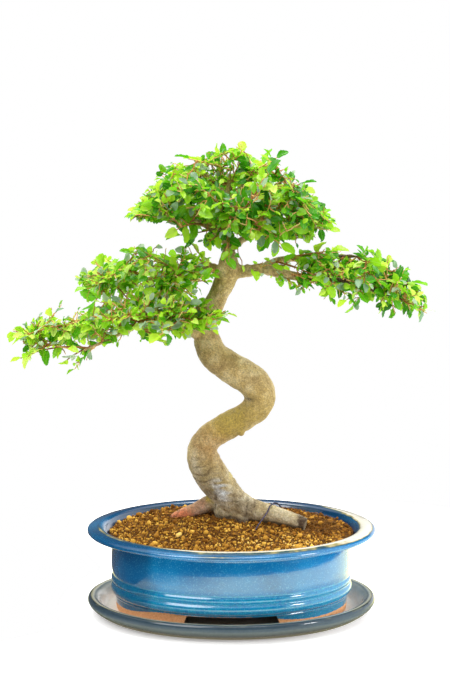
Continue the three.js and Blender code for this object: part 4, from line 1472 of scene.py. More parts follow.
@dataclass
class Shoot:
    """A leafy stem: its bent line of nine places and the leaves on it."""

    name: str
    pad: Pad
    serial: int
    line: Array
    leaves: list[Leaf] = field(default_factory=list)

    @property
    def length(self) -> float:
        """The line's length."""
        return float(np.linalg.norm(np.diff(self.line, axis=0), axis=1).sum())


def bent_line(start: Array, tip: Array, serial: float) -> Array:
    """Nine places on a quadratic curve from start to tip, its middle pushed aside by chance.

    Args:
        start: where it begins.
        tip: where it ends.
        serial: its number.

    Returns:
        The nine places.
    """
    span = float(np.linalg.norm(tip - start))
    bend = (start + tip) / 2
    bend = bend + span * np.array(
        [
            0.16 * (chance(serial + 910) - 0.5), 0.16 * (chance(serial + 920) - 0.5),
            0.2 * (chance(serial + 900) - 0.25),
        ]
    )
    t = np.linspace(0, 1, 9)[:, None]
    return (1 - t) ** 2 * start + 2 * t * (1 - t) * bend + t * t * tip


def kinked(line: Array, n: float, size: float) -> Array:
    """A twig's line with a kink at each inner place, pushed aside by up to size in each direction.

    Args:
        line: the smooth line.
        n: the twig's number.
        size: how far a place may move.

    Returns:
        The kinked line.
    """
    aside = chance(n * 3.9 + np.arange(line.size).reshape(line.shape) * 1.31) - 0.5
    aside[[0, -1]] = 0
    return line + 2 * size * aside


def along_line(line: Array) -> Array:
    """Places all along a line, four to each stretch."""
    shares = np.array([0.25, 0.5, 0.75, 1])[None, :, None]
    return (line[:-1, None] + (line[1:] - line[:-1])[:, None] * shares).reshape(-1, 3)


def back_from_tip(line: Array, back: float) -> tuple[Array, Array]:
    """The place a length back from a line's tip, and the way the line runs there.

    Args:
        line: the line's places.
        back: the length.

    Returns:
        The place and the way.
    """
    left = back
    for k in range(len(line) - 1, 0, -1):
        stretch = float(np.linalg.norm(line[k] - line[k - 1]))
        if left <= stretch or k == 1:
            return line[k] + (line[k - 1] - line[k]) * min(1.0, left / stretch), unit(line[k] - line[k - 1])
        left -= stretch
    raise ValueError("a line needs two places")


@dataclass
class Growth:
    """Regrows the leafy shoots of the solids by their own rule."""

    rule: Growing = field(default_factory=Growing)

    def __post_init__(self) -> None:
        """Reads places and radii along each branch."""
        shares = np.linspace(0, 1, self.rule.along + 1)
        limbs = {"trunk": Limb(TRUNK), **{name: Limb(p) for name, p in BRANCHES.items()}}
        self.bones = {name: (limb.line(shares), limb.radius(shares)) for name, limb in limbs.items()}
        self.wood = np.vstack([line for line, _ in self.bones.values()])
        self.wood_radius = np.concatenate([r for _, r in self.bones.values()])

    def wood_near(self, places: Array, room: float) -> Array:
        """Whether each place lies within room of the wood's surface."""
        away = np.sqrt(((places[:, None] - self.wood[None]) ** 2).sum(-1))
        return (away < self.wood_radius[None] + room).any(1)

    def start(self, pad: Pad, i: int, serial: int, lines: list[tuple[int, Array, Array]]) -> Array | None:
        """A shoot's line, begun where the branches lie a twig's length from its tip and its way is free.

        Args:
            pad: the tier.
            i: its number in the tier.
            serial: its number.
            lines: number, places and seat of the shoots so far.

        Returns:
            The line, or nothing where no way is free.
        """
        rule = self.rule
        up = pad.lowest + (1 - pad.lowest) * (i + 0.5) / pad.shoots
        out, turn = math.sqrt(1 - up * up), i * 2.39996 + 0.6
        aim = np.array([out * math.cos(turn), out * math.sin(turn), up])
        tip = np.array(pad.middle) + aim * np.array(pad.half) * (0.84 + 0.16 * chance(serial))
        tip[2] += pad.slope * (tip[0] - pad.middle[0])
        taken = np.vstack([whole for _, whole, _ in lines]) if lines else np.empty((0, 3))
        seats = np.array([seat for _, _, seat in lines]) if lines else np.empty((0, 3))
        places = np.vstack([self.bones[name][0] for name in pad.sources])
        radii = np.concatenate([self.bones[name][1] for name in pad.sources])
        order = np.tile(np.arange(rule.along + 1), len(pad.sources))
        far = np.linalg.norm(places - tip, axis=1)
        free = (order >= rule.twig_after) & (places[:, 2] > rule.twig_above) & (far > rule.twig_least)
        if len(seats):
            free &= closest(places, seats) >= rule.clear_seat
        chosen = np.nonzero(free)[0]
        for k in chosen[np.argsort(np.abs(far[chosen] - rule.twig_long), kind="stable")]:
            line = bent_line(places[k], tip, serial)
            whole = along_line(line)
            open_way = whole[np.linalg.norm(whole - places[k], axis=1) > radii[k] + rule.clear_seat]
            if self.wood_near(open_way, rule.clear_start).any():
                continue
            if len(taken) and (closest(whole, taken) < rule.clear_line).any():
                continue
            return line
        return None

    def leaf(self, shoot: Shoot, n: int, attempt: int) -> Leaf | None:
        """A leaf at one seat of a shoot: n counts from the tip, and the leaves lie left and right by turns.

        Args:
            shoot: the shoot.
            n: the seat's number.
            attempt: which roll this is.

        Returns:
            The leaf, or nothing past the shoot's foot.
        """
        rule = self.rule
        back = 0.0 if n == 0 else rule.first + rule.step * (n - 1)
        if back > shoot.length - 7:
            return None
        at, ahead = back_from_tip(shoot.line, back)
        roll = [chance(shoot.serial * 61 + attempt * 13 + k * 1.7) - 0.5 for k in range(3)]
        up = unit((at - np.array(shoot.pad.middle)) / np.array(shoot.pad.half))
        up = up + np.array([1.5 * roll[0], 1.5 * roll[1] - 0.1, 0.5 + 0.6 * roll[2]])
        flat = unit(up - ahead * (up @ ahead))
        side = unit(np.cross(flat, ahead))
        dice = [chance(shoot.serial * 37 + n * 7 + attempt * 11 + k * 2.3) - 0.5 for k in range(5)]
        flip = 0 if n == 0 else (1 if (n + shoot.serial) % 2 else -1)
        point = unit(ahead * (0.5 + 0.24 * dice[0] if flip else 1) + side * 0.86 * flip + flat * 0.5 * dice[1])
        look = flat + side * 0.9 * dice[2]
        look = unit(look - point * (look @ point))
        size = (1 if flip else 0.92) * (1 + 0.36 * dice[3])
        return Leaf(
            at + side * flip * rule.twig_half, point, unit(np.cross(look, point)), look, rule.leaf_long * size,
            rule.leaf_wide * size * (1 + 0.2 * dice[4]), shoot.serial,
        )

    def samples(self, leaf: Leaf) -> Array:
        """Places spread over a leaf, by which its room is measured.

        Args:
            leaf: the leaf.

        Returns:
            The places, one a row.
        """
        along = np.repeat([0.2, 0.36, 0.52, 0.68, 0.84], 5)
        half = 0.5 * np.sin(math.pi * (0.12 + 0.8 * along))
        over = np.append(half * np.tile([-1, -0.5, 0, 0.5, 1], 5), 0)[:, None]
        along = np.append(along, 1)[:, None]
        rise = leaf.long * (0.16 * np.abs(over) - 0.14 * along**2)
        return leaf.at + leaf.point * along * leaf.long + leaf.across * over * leaf.wide + leaf.look * rise

    def crowded(
        self, shoot: Shoot, places: Array, others: Array, owners: Array, lines: Array, line_owners: Array
    ) -> bool:
        """Whether a leaf would touch another leaf, a twig or the wood.

        Args:
            shoot: the shoot.
            places: places on the leaf.
            others: places on the other leaves.
            owners: the shoot of each of those.
            lines: places along the shoots.
            line_owners: the shoot of each of those.

        Returns:
            True where it would.
        """
        rule = self.rule
        if len(others):
            away = closest(others, places)
            if (away < np.where(owners == shoot.serial, rule.clear_own, rule.clear_leaf)).any():
                return True
        own = line_owners == shoot.serial
        if (closest(lines[own], places[rule.outer_half :]) < rule.clear_stalk).any():
            return True
        if (~own).any() and (closest(lines[~own], places) < rule.clear_twig).any():
            return True
        return bool(self.wood_near(places, rule.clear_wood).any())

    def grow(self) -> list[Shoot]:
        """All the shoots with the leaves that have room: each one rolled a few times, and the fullest kept.

        Returns:
            The shoots in their order.
        """
        shoots: list[Shoot] = []
        lines: list[tuple[int, Array, Array]] = []
        serial = 0
        for pad in PADS:
            for i in range(pad.shoots):
                serial += 1
                line = self.start(pad, i, serial, lines)
                if line is None:
                    continue
                lines.append((serial, along_line(line), line[0]))
                shoots.append(Shoot(f"{pad.name}_shoot_{i + 1:02d}", pad, serial, line))
        ways = np.vstack([whole for _, whole, _ in lines])
        way_owners = np.concatenate([np.full(len(whole), owner) for owner, whole, _ in lines])
        placed, owners = np.empty((0, 3)), np.empty(0)
        for shoot in shoots:
            best: list[tuple[Leaf, Array]] = []
            for attempt in range(self.rule.tries):
                here: list[tuple[Leaf, Array]] = []
                for n in range(self.rule.most):
                    leaf = self.leaf(shoot, n, attempt)
                    if leaf is None:
                        break
                    spots = self.samples(leaf)
                    others = np.vstack([placed, *(s for _, s in here)])
                    whose = np.concatenate([owners, np.full(len(others) - len(owners), shoot.serial)])
                    if not self.crowded(shoot, spots, others, whose, ways, way_owners):
                        here.append((leaf, spots))
                if len(here) > len(best):
                    best = here
            shoot.leaves = [leaf for leaf, _ in best]
            for _, spots in best:
                placed = np.vstack([placed, spots])
                owners = np.concatenate([owners, np.full(len(spots), shoot.serial)])
        return shoots


@dataclass(frozen=True)
class Canopy:
    """The room that a tier's leaves fill: its top and bottom at each x, halved in depth like an ellipse.

    Attributes:
        name: the tier's name.
        top: x and z along the upper outline.
        bottom: x and z along the lower outline.
        middle: y of its middle.
        depth: its half depth.
        twigs: how many fine twigs fill it.
        sources: the branches that its twigs grow from.
        gaps: the noise below which no twig ends; nearer to 0 leaves more gaps.
    """

    name: str
    top: tuple[tuple[float, float], ...]
    bottom: tuple[tuple[float, float], ...]
    middle: float
    depth: float
    twigs: int
    sources: tuple[str, ...]
    gaps: float = -0.45

    def limits(self, x: Array, y: Array) -> tuple[Array, Array]:
        """The lowest and highest z of the room at a place: the outline, drawn in towards its middle in depth.

        Args:
            x: each place's x.
            y: each place's y.

        Returns:
            The lowest and the highest z at each place.
        """
        low = np.interp(x, *zip(*self.bottom))
        high = np.interp(x, *zip(*self.top))
        share = np.sqrt(np.clip(1 - ((y - self.middle) / self.depth) ** 2, 0, 1))
        mean = (low + high) / 2
        return mean - (mean - low) * share, mean + (high - mean) * share


CANOPIES = (
    Canopy(
        "crown",
        (
            (-90, 348), (-85, 350), (-74, 367), (-60, 386), (-47, 391), (-33, 394), (-20, 405),
            (20, 409), (34, 401), (47, 390), (61, 379), (74, 362), (88, 345),
        ),
        (
            (-90, 343), (-60, 341), (-47, 338), (-33, 328), (-22, 312), (-8, 308),
            (7, 314), (21, 306), (48, 313), (68, 315), (88, 336),
        ),
        2, 58, 270, CROWN_BRANCHES,
    ),
    Canopy(
        "left_upper",
        (
            (-137, 292), (-128, 298), (-114, 312), (-101, 315), (-87, 320),
            (-60, 327), (-33, 327), (-20, 315), (-12, 302),
        ),
        ((-137, 284), (-114, 270), (-80, 260), (-50, 258), (-30, 268), (-12, 292)), 8, 42, 92, ("leftUpper",),
    ),
    Canopy(
        "left_middle", ((-130, 270), (-110, 282), (-80, 290), (-50, 292), (-22, 276)),
        ((-130, 246), (-110, 240), (-88, 238), (-61, 240), (-40, 232), (-22, 240)), -24, 38, 76, LOW_LEFT,
    ),
    Canopy(
        "left_outer", ((-192, 248), (-186, 255), (-176, 261), (-162, 273), (-149, 277), (-129, 276), (-112, 266)),
        ((-192, 240), (-177, 228), (-164, 211), (-150, 202), (-136, 207), (-123, 210), (-112, 238)), -22, 32, 52,
        LOW_LEFT, -0.2,
    ),
    Canopy(
        "right",
        ((58, 311), (68, 318), (81, 321), (95, 324), (122, 325), (130, 313), (149, 307), (158, 289), (172, 272)),
        ((58, 282), (75, 277), (89, 266), (109, 262), (130, 258), (152, 253), (164, 254), (172, 262)), 0, 42, 92,
        ("right", "rightFork"),
    ),
    Canopy(
        "left_front", ((-52, 280), (-30, 283), (-10, 280), (4, 268)),
        ((-52, 246), (-30, 242), (-10, 250), (4, 258)), -24, 17, 22, ("leftLower",),
    ),
    Canopy(
        "trunk_top", ((-14, 318), (-4, 322), (8, 322), (16, 318)), ((-14, 300), (-4, 296), (8, 298), (16, 304)),
        -18, 9, 4, ("crownFront",),
    ),
    Canopy(
        "right_inner", ((20, 312), (40, 316), (62, 318)), ((20, 288), (40, 276), (62, 276)), -4, 20, 9,
        ("right", "rightFork"),
    ),
)


@dataclass
class Foliage:
    """All leaves and twigs: the shoots that the solids have, and the finer ones that fill each tier."""

    growth: Growth = field(default_factory=Growth)
    teeth: float = 0.05
    grown_size: float = 0.84
    fine_long: float = 10.6
    tiny_long: float = 6.4
    slim: float = 0.58
    leafy: float = 0.62
    kink: float = 0.8
    gap_size: float = 15

    def leaf_grid(self, rows: int, columns: int) -> tuple[Array, Array, Array]:
        """One leaf's grid: how far along and out each vertex lies, and its faces.

        The outline is a power of a half sine, and its margin steps in and out from row to row, as the teeth
        of an elm's leaf do.

        Args:
            rows: vertices from the stalk to the tip.
            columns: vertices across.

        Returns:
            The share along and the share across of each vertex, and the faces.
        """
        along = ease(np.linspace(0, 1, rows), -0.35, 1.2)
        along = (along - along[0]) / (along[-1] - along[0])
        width = np.sin(math.pi * np.clip((along - 0.02) / 0.98, 0, 1) ** 0.9) ** 0.6
        width[0], width[-1] = 0.05, 0.03
        even = np.arange(rows) % 2 == 0
        tooth = np.where(even, 1 + self.teeth, 1 - self.teeth)
        width = width * np.where((along > 0.12) & (along < 0.97), tooth, 1)
        across = np.linspace(-0.5, 0.5, columns)
        shift = np.where(even, 0.02, -0.005)[:, None] * (np.abs(across) > 0.4)[None]
        shift[[0, 1, -1]] = 0
        reach = along[:, None] + shift
        return reach.ravel(), (width[:, None] * across).ravel(), grid_faces(rows, columns, wrapped=False)

    def leaves_piece(
        self, name: str, leaves: Sequence[Leaf], skin: Material, stands_for: Sequence[str] = (),
        grid: tuple[int, int] = (9, 3),
    ) -> None:
        """Many leaves as one piece. Each lies along its point and across, arched up to its edges and down to its tip.

        Args:
            name: the piece's name.
            leaves: the leaves.
            skin: their finish.
            stands_for: the frame's nodes that they hide.
            grid: vertices along and across each leaf.
        """
        reach, over, faces = self.leaf_grid(*grid)
        ways = ("at", "point", "across", "look")
        at, point, across, look = (np.array([getattr(leaf, k) for leaf in leaves]) for k in ways)
        long = np.array([leaf.long for leaf in leaves])[:, None, None]
        wide = np.array([leaf.wide for leaf in leaves])[:, None, None]
        serial = np.array([leaf.serial for leaf in leaves], float) + np.arange(len(leaves)) * 0.37
        along, out = reach[None, :, None], over[None, :, None]
        wave = 0.05 * np.sin(along * 9 + serial[:, None, None]) * np.abs(out) * 2
        fold = (0.1 + 0.14 * chance(serial * 1.9))[:, None, None]
        droop = (0.06 + 0.18 * chance(serial * 2.9))[:, None, None]
        rise = long * (fold * np.abs(out) * 1.6 - droop * along**2 + wave)
        places = at[:, None] + point[:, None] * along * long + across[:, None] * out * wide + look[:, None] * rise
        count = len(reach)
        tone = self.tones(at, look, serial, long[:, 0, 0])
        marks = {"tone": np.repeat(tone, count)}
        uv = np.tile(np.stack([reach, over + 0.5], -1), (len(leaves), 1))
        make_piece(
            name, places.reshape(-1, 3), repeated([faces], len(leaves), count), skin, stands_for, marks,
            uv,
        )

    def tones(self, at: Array, look: Array, serial: Array, long: Array) -> Array:
        """How light each leaf's green is: by chance, with painted light where it faces up and at the left, some lime,
        and some pale greyish ones that stand for a painted sheen.

        Args:
            at: where the leaves hang.
            look: the way that each faces.
            serial: each leaf's number.
            long: each leaf's length.

        Returns:
            The tone of each leaf, from 0 to 1.
        """
        roll = chance(serial * 5.7 + at[:, 0] * 0.01)
        left = ease(at[:, 0], 20, -60)
        low = ease(-at[:, 2], -325, -305)
        # painted light: leaves that face up, and those at the left, most of all low down, are lighter
        tone = 0.045 + 0.64 * roll + 0.12 * look[:, 2] + left * (0.08 + 0.13 * low)
        # the pale greyish leaves, more of them at the lower left, are a painted sheen
        grey = (chance(serial * 8.3 + 4) < 0.13 + 0.14 * left * low) & (long < 12.5)
        lime = chance(serial * 3.1 + 9) < 0.17
        tone = np.where(lime, 0.72 + 0.16 * roll, tone)
        return np.clip(np.where(grey, 0.93 + 0.07 * roll, np.minimum(tone, 0.88)), 0, 1)

    def twigs_piece(self, name: str, lines: Array, thick: Array, sides: int, shade: Material) -> None:
        """Many twigs as one piece: a thin knotted tube along each line.

        Args:
            name: the piece's name.
            lines: places, as [twig, place, 3].
            thick: each twig's radius at its branch.
            sides: vertices round each.
            shade: their finish.
        """
        count = lines.shape[1]
        t = np.linspace(0, 1, count)[None]
        knots = 1 + 0.3 * (chance(np.arange(lines.size // 3).reshape(len(lines), count) * 2.3) - 0.3)
        places = sweep(lines, thick[:, None] * (1 - 0.5 * t) * knots, sides)
        tone = chance(np.arange(len(lines)) * 3.3)[:, None] * 0.7 + 0.3 * np.linspace(0, 1, places.shape[1])[None]
        make_piece(
            name, places.reshape(-1, 3), repeated(tube_faces(count, sides), len(lines), places.shape[1]), shade,
            marks={"tone": tone.ravel()},
        )

    def fine_twigs(self, canopy: Canopy, shoots: Sequence[Shoot]) -> tuple[list[Array], list[Leaf]]:
        """The finer twigs that fill a tier's room, and their leaves.

        Tips are scattered through the room, but not where a coarse noise leaves gaps; each twig runs to its
        tip from the nearest wood that is long enough away, and bears leaves left and right by turns.

        Args:
            canopy: the tier.
            shoots: the shoots of all tiers.

        Returns:
            The twigs' lines and their leaves.
        """
        stems = [self.growth.bones[name][0][6:] for name in canopy.sources]
        stems += [along_line(s.line)[4:26] for s in shoots if s.pad.name == canopy.name]
        stems = np.vstack(stems)
        stems = stems[stems[:, 2] > 236]
        low_x, high_x = canopy.top[0][0] + 6, canopy.top[-1][0] - 6
        twigs: list[Array] = []
        leaves: list[Leaf] = []
        base = sum(ord(c) for c in canopy.name)
        for j in range(canopy.twigs):
            n = base + j * 1.618
            x = low_x + (high_x - low_x) * ((j * 0.618034 + 0.31) % 1)
            y = canopy.middle + canopy.depth * 0.88 * (2 * chance(n * 2.3) - 1)
            low, high = (float(v) for v in canopy.limits(np.array(x), np.array(y)))
            if high - low < 8:
                continue
            z = low + 5 + (high - low - 10) * chance(n * 4.9) ** 0.85
            tip = np.array([x, y, z])
            if wobble(tip[None] * [1, 0.3, 1], self.gap_size, 51)[0] < canopy.gaps:
                continue
            far = np.linalg.norm(stems - tip, axis=1)
            reach = 15 + 16 * chance(n * 6.1)
            start = stems[np.abs(far - reach).argmin()]
            if np.linalg.norm(tip - start) > 58 or np.linalg.norm(tip - start) < 6:
                continue
            line = kinked(bent_line(start, tip, n), n, self.kink)
            twigs.append(line)
            length = float(np.linalg.norm(np.diff(line, axis=0), axis=1).sum())
            seats = [back for back in np.arange(8) * 4.6 if back <= length - 3]
            leaves += self.fine_leaves(canopy, line, seats, n, self.fine_long)
        return twigs, leaves

    def spurs(self, canopy: Canopy, twigs: Sequence[Array]) -> tuple[list[Array], list[Leaf]]:
        """Short knotted side twigs, three on each fine twig, that fork off outwards with a few tiny leaves.

        Args:
            canopy: the tier.
            twigs: its fine twigs.

        Returns:
            The spurs' lines and their leaves.
        """
        lines: list[Array] = []
        leaves: list[Leaf] = []
        middle = np.array([(canopy.top[0][0] + canopy.top[-1][0]) / 2, canopy.middle, canopy.bottom[0][1]])
        for k, twig in enumerate(twigs):
            for part in (2, 4, 6):
                n = k * 2.71 + part + len(canopy.name)
                ahead = unit(twig[part] - twig[part - 1])
                aside = np.array([chance(n * 3.1) - 0.5, chance(n * 4.3) - 0.5, chance(n * 5.9) - 0.5])
                outward = unit((twig[part] - middle) * [0.5, 1, 0.7])
                tip = twig[part] + (5 + 9 * chance(n * 7.3)) * unit(ahead * 0.5 + unit(aside) + outward * 0.5)
                low, high = canopy.limits(tip[0], tip[1])
                if low < tip[2] < high:
                    line = kinked(bent_line(twig[part], tip, n), n, self.kink * 0.7)
                    lines.append(line)
                    if chance(n * 9.7) < self.leafy:
                        leaves += self.fine_leaves(canopy, line, (0.0, 3.0), n, self.tiny_long)
        return lines, leaves

    def fine_leaves(self, canopy: Canopy, line: Array, seats: Sequence[float], n: float, long: float) -> list[Leaf]:
        """The leaves of one twig that lie inside the tier's room and clear of the trunk.

        Args:
            canopy: the tier.
            line: the twig's line.
            seats: how far back from the tip each leaf sits.
            n: the twig's number.
            long: a usual leaf's length.

        Returns:
            The leaves.
        """
        made: list[Leaf] = []
        for k, back in enumerate(seats):
            at, ahead = back_from_tip(line, back)
            dice = [chance(n * 17 + k * 5.1 + m * 2.9) - 0.5 for m in range(7)]
            up = unit((at - np.array([0, canopy.middle, at[2] - 12])) * [0.012, 0.02, 0.05])
            up = up + np.array([1.7 * dice[0], 1.7 * dice[1] - 0.25, 0.45 + 1.0 * dice[2]])
            flat = unit(up - ahead * (up @ ahead))
            side = unit(np.cross(flat, ahead))
            flip = 0 if k == 0 else (1 if k % 2 else -1)
            point = unit(ahead * (0.45 + 0.5 * dice[3] if flip else 1) + side * 0.9 * flip + flat * 0.8 * dice[4])
            look = flat + side * 1.1 * dice[5]
            look = unit(look - point * (look @ point))
            size = long * (0.68 + 0.66 * chance(n * 3.3 + k)) * (0.8 if k == 0 else 1)
            tip = at + point * size
            low, high = canopy.limits(tip[0], tip[1])
            inside = low - 2 < tip[2] < high + 1.5 and canopy.top[0][0] - 2 < tip[0] < canopy.top[-1][0] + 2
            trunk, radius = self.growth.bones["trunk"]
            free = (np.linalg.norm(trunk - (at + tip) / 2, axis=1) > radius + 3).all()
            if inside and free:
                wide = self.slim * size * (1 + 0.24 * dice[6])
                made.append(Leaf(at, point, unit(np.cross(look, point)), look, size, wide, int(n * 10)))
        return made

    def build(self, names: Sequence[str], skin: Material, twig_bark: Material) -> None:
        """Dresses each tier: its main leaves, its finer leaves, and the twigs of both.

        Args:
            names: the frame's nodes, among which each regrown shoot has its own.
            skin: the leaves' finish.
            twig_bark: the twigs' finish.
        """
        shoots = self.growth.grow()
        missing = [s.name for s in shoots if s.name not in names]
        if missing or len(shoots) != sum("_shoot_" in n for n in names):
            raise RuntimeError(f"the regrown shoots differ from the frame's: {missing}")
        for canopy in CANOPIES:
            own = [s for s in shoots if s.pad.name == canopy.name]
            if own:
                grown = [self.trimmed(leaf) for s in own for leaf in s.leaves]
                self.leaves_piece(f"{canopy.name}_leaves", grown, skin, [s.name for s in own], (13, 5))
            twigs, leaves = self.fine_twigs(canopy, shoots)
            self.leaves_piece(f"{canopy.name}_small_leaves", leaves, skin, grid=(11, 3))
            spurs, tiny = self.spurs(canopy, twigs)
            if tiny:
                self.leaves_piece(f"{canopy.name}_tiny_leaves", tiny, skin, grid=(7, 3))
            lines = np.array([s.line for s in own] + twigs)
            thick = np.array([0.9] * len(own) + [0.68] * len(twigs))
            self.twigs_piece(f"{canopy.name}_twigs", lines, thick, 6, twig_bark)
            if spurs:
                self.twigs_piece(f"{canopy.name}_spurs", np.array(spurs), np.full(len(spurs), 0.58), 4, twig_bark)
            LOG.info("%s: %d small leaves, %d tiny ones", canopy.name, len(leaves), len(tiny))

    def trimmed(self, leaf: Leaf) -> Leaf:
        """A shoot's leaf at its own size within the solid's blade."""
        share = self.grown_size * (0.8 + 0.3 * float(chance(leaf.long * 7.7)))
        return replace(leaf, long=leaf.long * share, wide=leaf.wide * share)


# The studio.


@dataclass
class Studio:
    """White floor, soft boxes and the camera at the photograph's viewing angle, in millimetres.

    Attributes:
        camera: where the camera stands.
        down: how far it is tipped down, in radians.
        focal: its focal length in pixels of the picture.
        sensor: its sensor's width.
        floor: the floor's half width.
        cut: how much of that is missing at the left.
        floor_at: x and y of the floor's middle.
        front: the room's brightness in front.
        back: and behind.
        dim: the dark part of what shines sees.
        shine: and its bright part.
        glow: the floor's own light on what doesn't shine.
        haze: and to the eye.
        warm: the floor's light, as colour, on what shines.
    """

    camera: tuple[float, float, float] = (-5.55, -1400.0, 466.6)
    down: float = 0.159
    focal: float = 1665.6
    sensor: float = 36.0
    floor: float = 375.0
    cut: float = 180.0
    floor_at: tuple[float, float] = (43.0, 20.0)
    front: float = 0.3
    back: float = 2.0
    dim: float = 0.06
    shine: float = 1.5
    glow: float = 0.8
    haze: float = 0.3
    warm: tuple[float, float, float] = (2.7, 2.6, 1.2)

    def build(self) -> None:
        """Makes the floor, the surroundings, the lights and the camera, and shows colours as they are."""
        bpy.context.scene.view_settings.view_transform = "Standard"
        self.make_floor()
        self.make_world()
        self.make_lights()
        self.make_camera()

    def make_floor(self) -> None:
        """A round white sheet that ends near the tray at the left, where the wall's end is dark.

        The lower part of the pot's wall reflects it, and the part above the dim room.
        """
        turn = circle(FLOOR_SIDES)
        cut = self.cut * ease(turn, 2.1, 2.6) * ease(-turn, -3.7, -3.45)
        way = np.stack([np.cos(turn), np.sin(turn), 0 * turn], -1)
        places = np.vstack([(self.floor - cut)[:, None] * way, 5 * way, [[0, 0, 0]]])
        places += [*self.floor_at, -0.05]
        j = FLOOR_SIDES + np.arange(FLOOR_SIDES)
        inner = np.stack([j, np.roll(j, -1), np.full(FLOOR_SIDES, 2 * FLOOR_SIDES)], -1)
        mesh = new_mesh("floor", places, [grid_faces(2, FLOOR_SIDES), inner])
        mesh.materials.append(self.paper())
        floor = put("floor", mesh)

    def paper(self) -> Material:
        """The floor's matt white paper, lit from inside, so that the eye sees a white with soft shadows.

        What shines sees it glow warm, less at the left and close to the tray. The eye sees it just white
        enough to keep the shadow round the tray.

        Returns:
            The material.
        """
        paper = bpy.data.materials.new("white_paper")
        paper.use_nodes = True
        tree = paper.node_tree
        grain = add(tree, "TexNoise", {"Scale": per(2)})
        tone = add(tree, "ValToRGB", {"Fac": grain}, [(0, "#f8f8f7"), (1, "#fcfcfb")])
        ray = add(tree, "LightPath")
        shine, eye = ray.outputs["Is Glossy Ray"], ray.outputs["Is Camera Ray"]
        place = add(tree, "TexCoord").outputs["Object"]
        along = add(tree, "SeparateXYZ", {"Vector": place})
        left = add(tree, "MapRange", {"Value": along, "From Min": -0.22, "From Max": -0.02, "To Min": 0.12})
        tray = add(tree, "VectorMath", {0: place, 1: (8, 11, 0)}, operation="MULTIPLY")
        away = add(tree, "VectorMath", {0: tray}, operation="LENGTH").outputs["Value"]
        near = add(tree, "MapRange", {"Value": away, "From Min": 1.0, "From Max": 1.5, "To Min": 0.12})
        lit = add(tree, "Math", {0: left, 1: near}, operation="MULTIPLY")
        warm = add(tree, "VectorMath", {0: self.warm, "Scale": lit}, operation="SCALE")
        plain, faint = ((level, level, level, 1) for level in (self.glow, self.haze))
        base = add(tree, "Mix", {0: shine, 6: tone, 7: (0, 0, 0, 1)}, data_type="RGBA").outputs[2]
        glow = add(tree, "Mix", {0: shine, 6: plain, 7: warm}, data_type="RGBA").outputs[2]
        glow = add(tree, "Mix", {0: eye, 6: glow, 7: faint}, data_type="RGBA").outputs[2]
        inputs = {"Roughness": 0.8, "Base Color": base, "Emission Color": glow, "Emission Strength": 1.0}
        fit(tree.nodes["Principled BSDF"], inputs)
        return paper

    def make_world(self) -> None:
        """A white studio: bright behind and at the sides. What shines sees a dim room, bright at the right."""
        world = bpy.data.worlds.new("studio")
        bpy.context.scene.world = world
        world.use_nodes = True
        tree = world.node_tree
        back = tree.nodes["Background"]
        back.inputs["Color"].default_value = (1, 1, 1, 1)
        way = add(tree, "SeparateXYZ", {"Vector": add(tree, "TexCoord").outputs["Generated"]}).outputs

        def step(axis: str, low: float, high: float, least: float = 0, most: float = 1, kind: str = "LINEAR") -> Node:
            """From least to most as one part of the direction goes from low to high."""
            inputs = {"Value": way[axis], "From Min": low, "From Max": high, "To Min": least, "To Max": most}
            return add(tree, "MapRange", inputs, interpolation_type=kind)

        soft = "SMOOTHSTEP"
        room = step("Y", -0.35, 0.35, self.front, self.back, soft)
        # low down it is darker at the left and lighter at the right
        aside = add(tree, "Mix", {0: step("Z", 0.1, 0.5), 2: step("X", -0.6, 0.6, 0.25, 1.5), 3: 1.0})
        room = add(tree, "Math", {0: room, 1: aside}, operation="MULTIPLY")
        # what shines sees white behind, more to the right than to the left, and white at the right side
        low = {0: step("Y", 0.1, 0.6, kind=soft), 1: step("Z", 0.45, 0.3, kind=soft)}
        behind = add(tree, "Math", low, operation="MULTIPLY")
        behind = add(tree, "Math", {0: behind, 1: step("X", 0.0, 0.5, 0.05, kind=soft)}, operation="MULTIPLY")
        side = add(tree, "Math", {0: step("X", 0.5, 0.75, kind=soft), 1: step("Z", -0.1, 0.0)}, operation="MULTIPLY")
        white = add(tree, "Math", {0: behind, 1: side}, operation="MAXIMUM")
        # and a white ceiling, which gives the leaves their sheen
        white = add(tree, "Math", {0: white, 1: step("Z", 0.6, 0.9)}, operation="MAXIMUM")
        side = add(tree, "MapRange", {"Value": white, "To Min": self.dim, "To Max": self.shine})
        ray = add(tree, "LightPath").outputs
        level = add(tree, "Mix", {0: ray["Is Glossy Ray"], 2: room, 3: side})
        around = add(tree, "Background", {"Color": (1, 1, 1, 1), "Strength": level})
        mixed = add(tree, "MixShader", {0: ray["Is Camera Ray"], 1: around, 2: back})
        fit(tree.nodes["World Output"], {"Surface": mixed})

    def make_lights(self) -> None:
        """Two soft boxes in front, a large one above and a narrow one that only reaches the tray's right end."""
        boxes = (
            ("key", (-800, -1000, 1300), (0, 0, 200), 900, 15, 180),
            ("window", (1000, -760, 720), (0, 0, 200), 230, 6, 180),
            ("top", (-100, 0, 1700), (0, 0, 200), 1000, 22, 180),
            ("low", (430, -330, 170), (124, -12, 6), 150, 0.035, 9),
        )
        for name, at, to, side, watts, spread in boxes:
            data = bpy.data.lights.new(name, "AREA")
            data.shape, data.size, data.energy, data.spread = "SQUARE", side * MM, watts, math.radians(spread)
            lamp = put(name, data)
            lamp.location = np.array(at) * MM
            lamp.visible_glossy = name != "low"
            aim = unit(np.array(to) - np.array(at, float))
            lamp.rotation_euler = (math.acos(-aim[2]), 0, math.atan2(aim[1], aim[0]) - math.pi / 2)

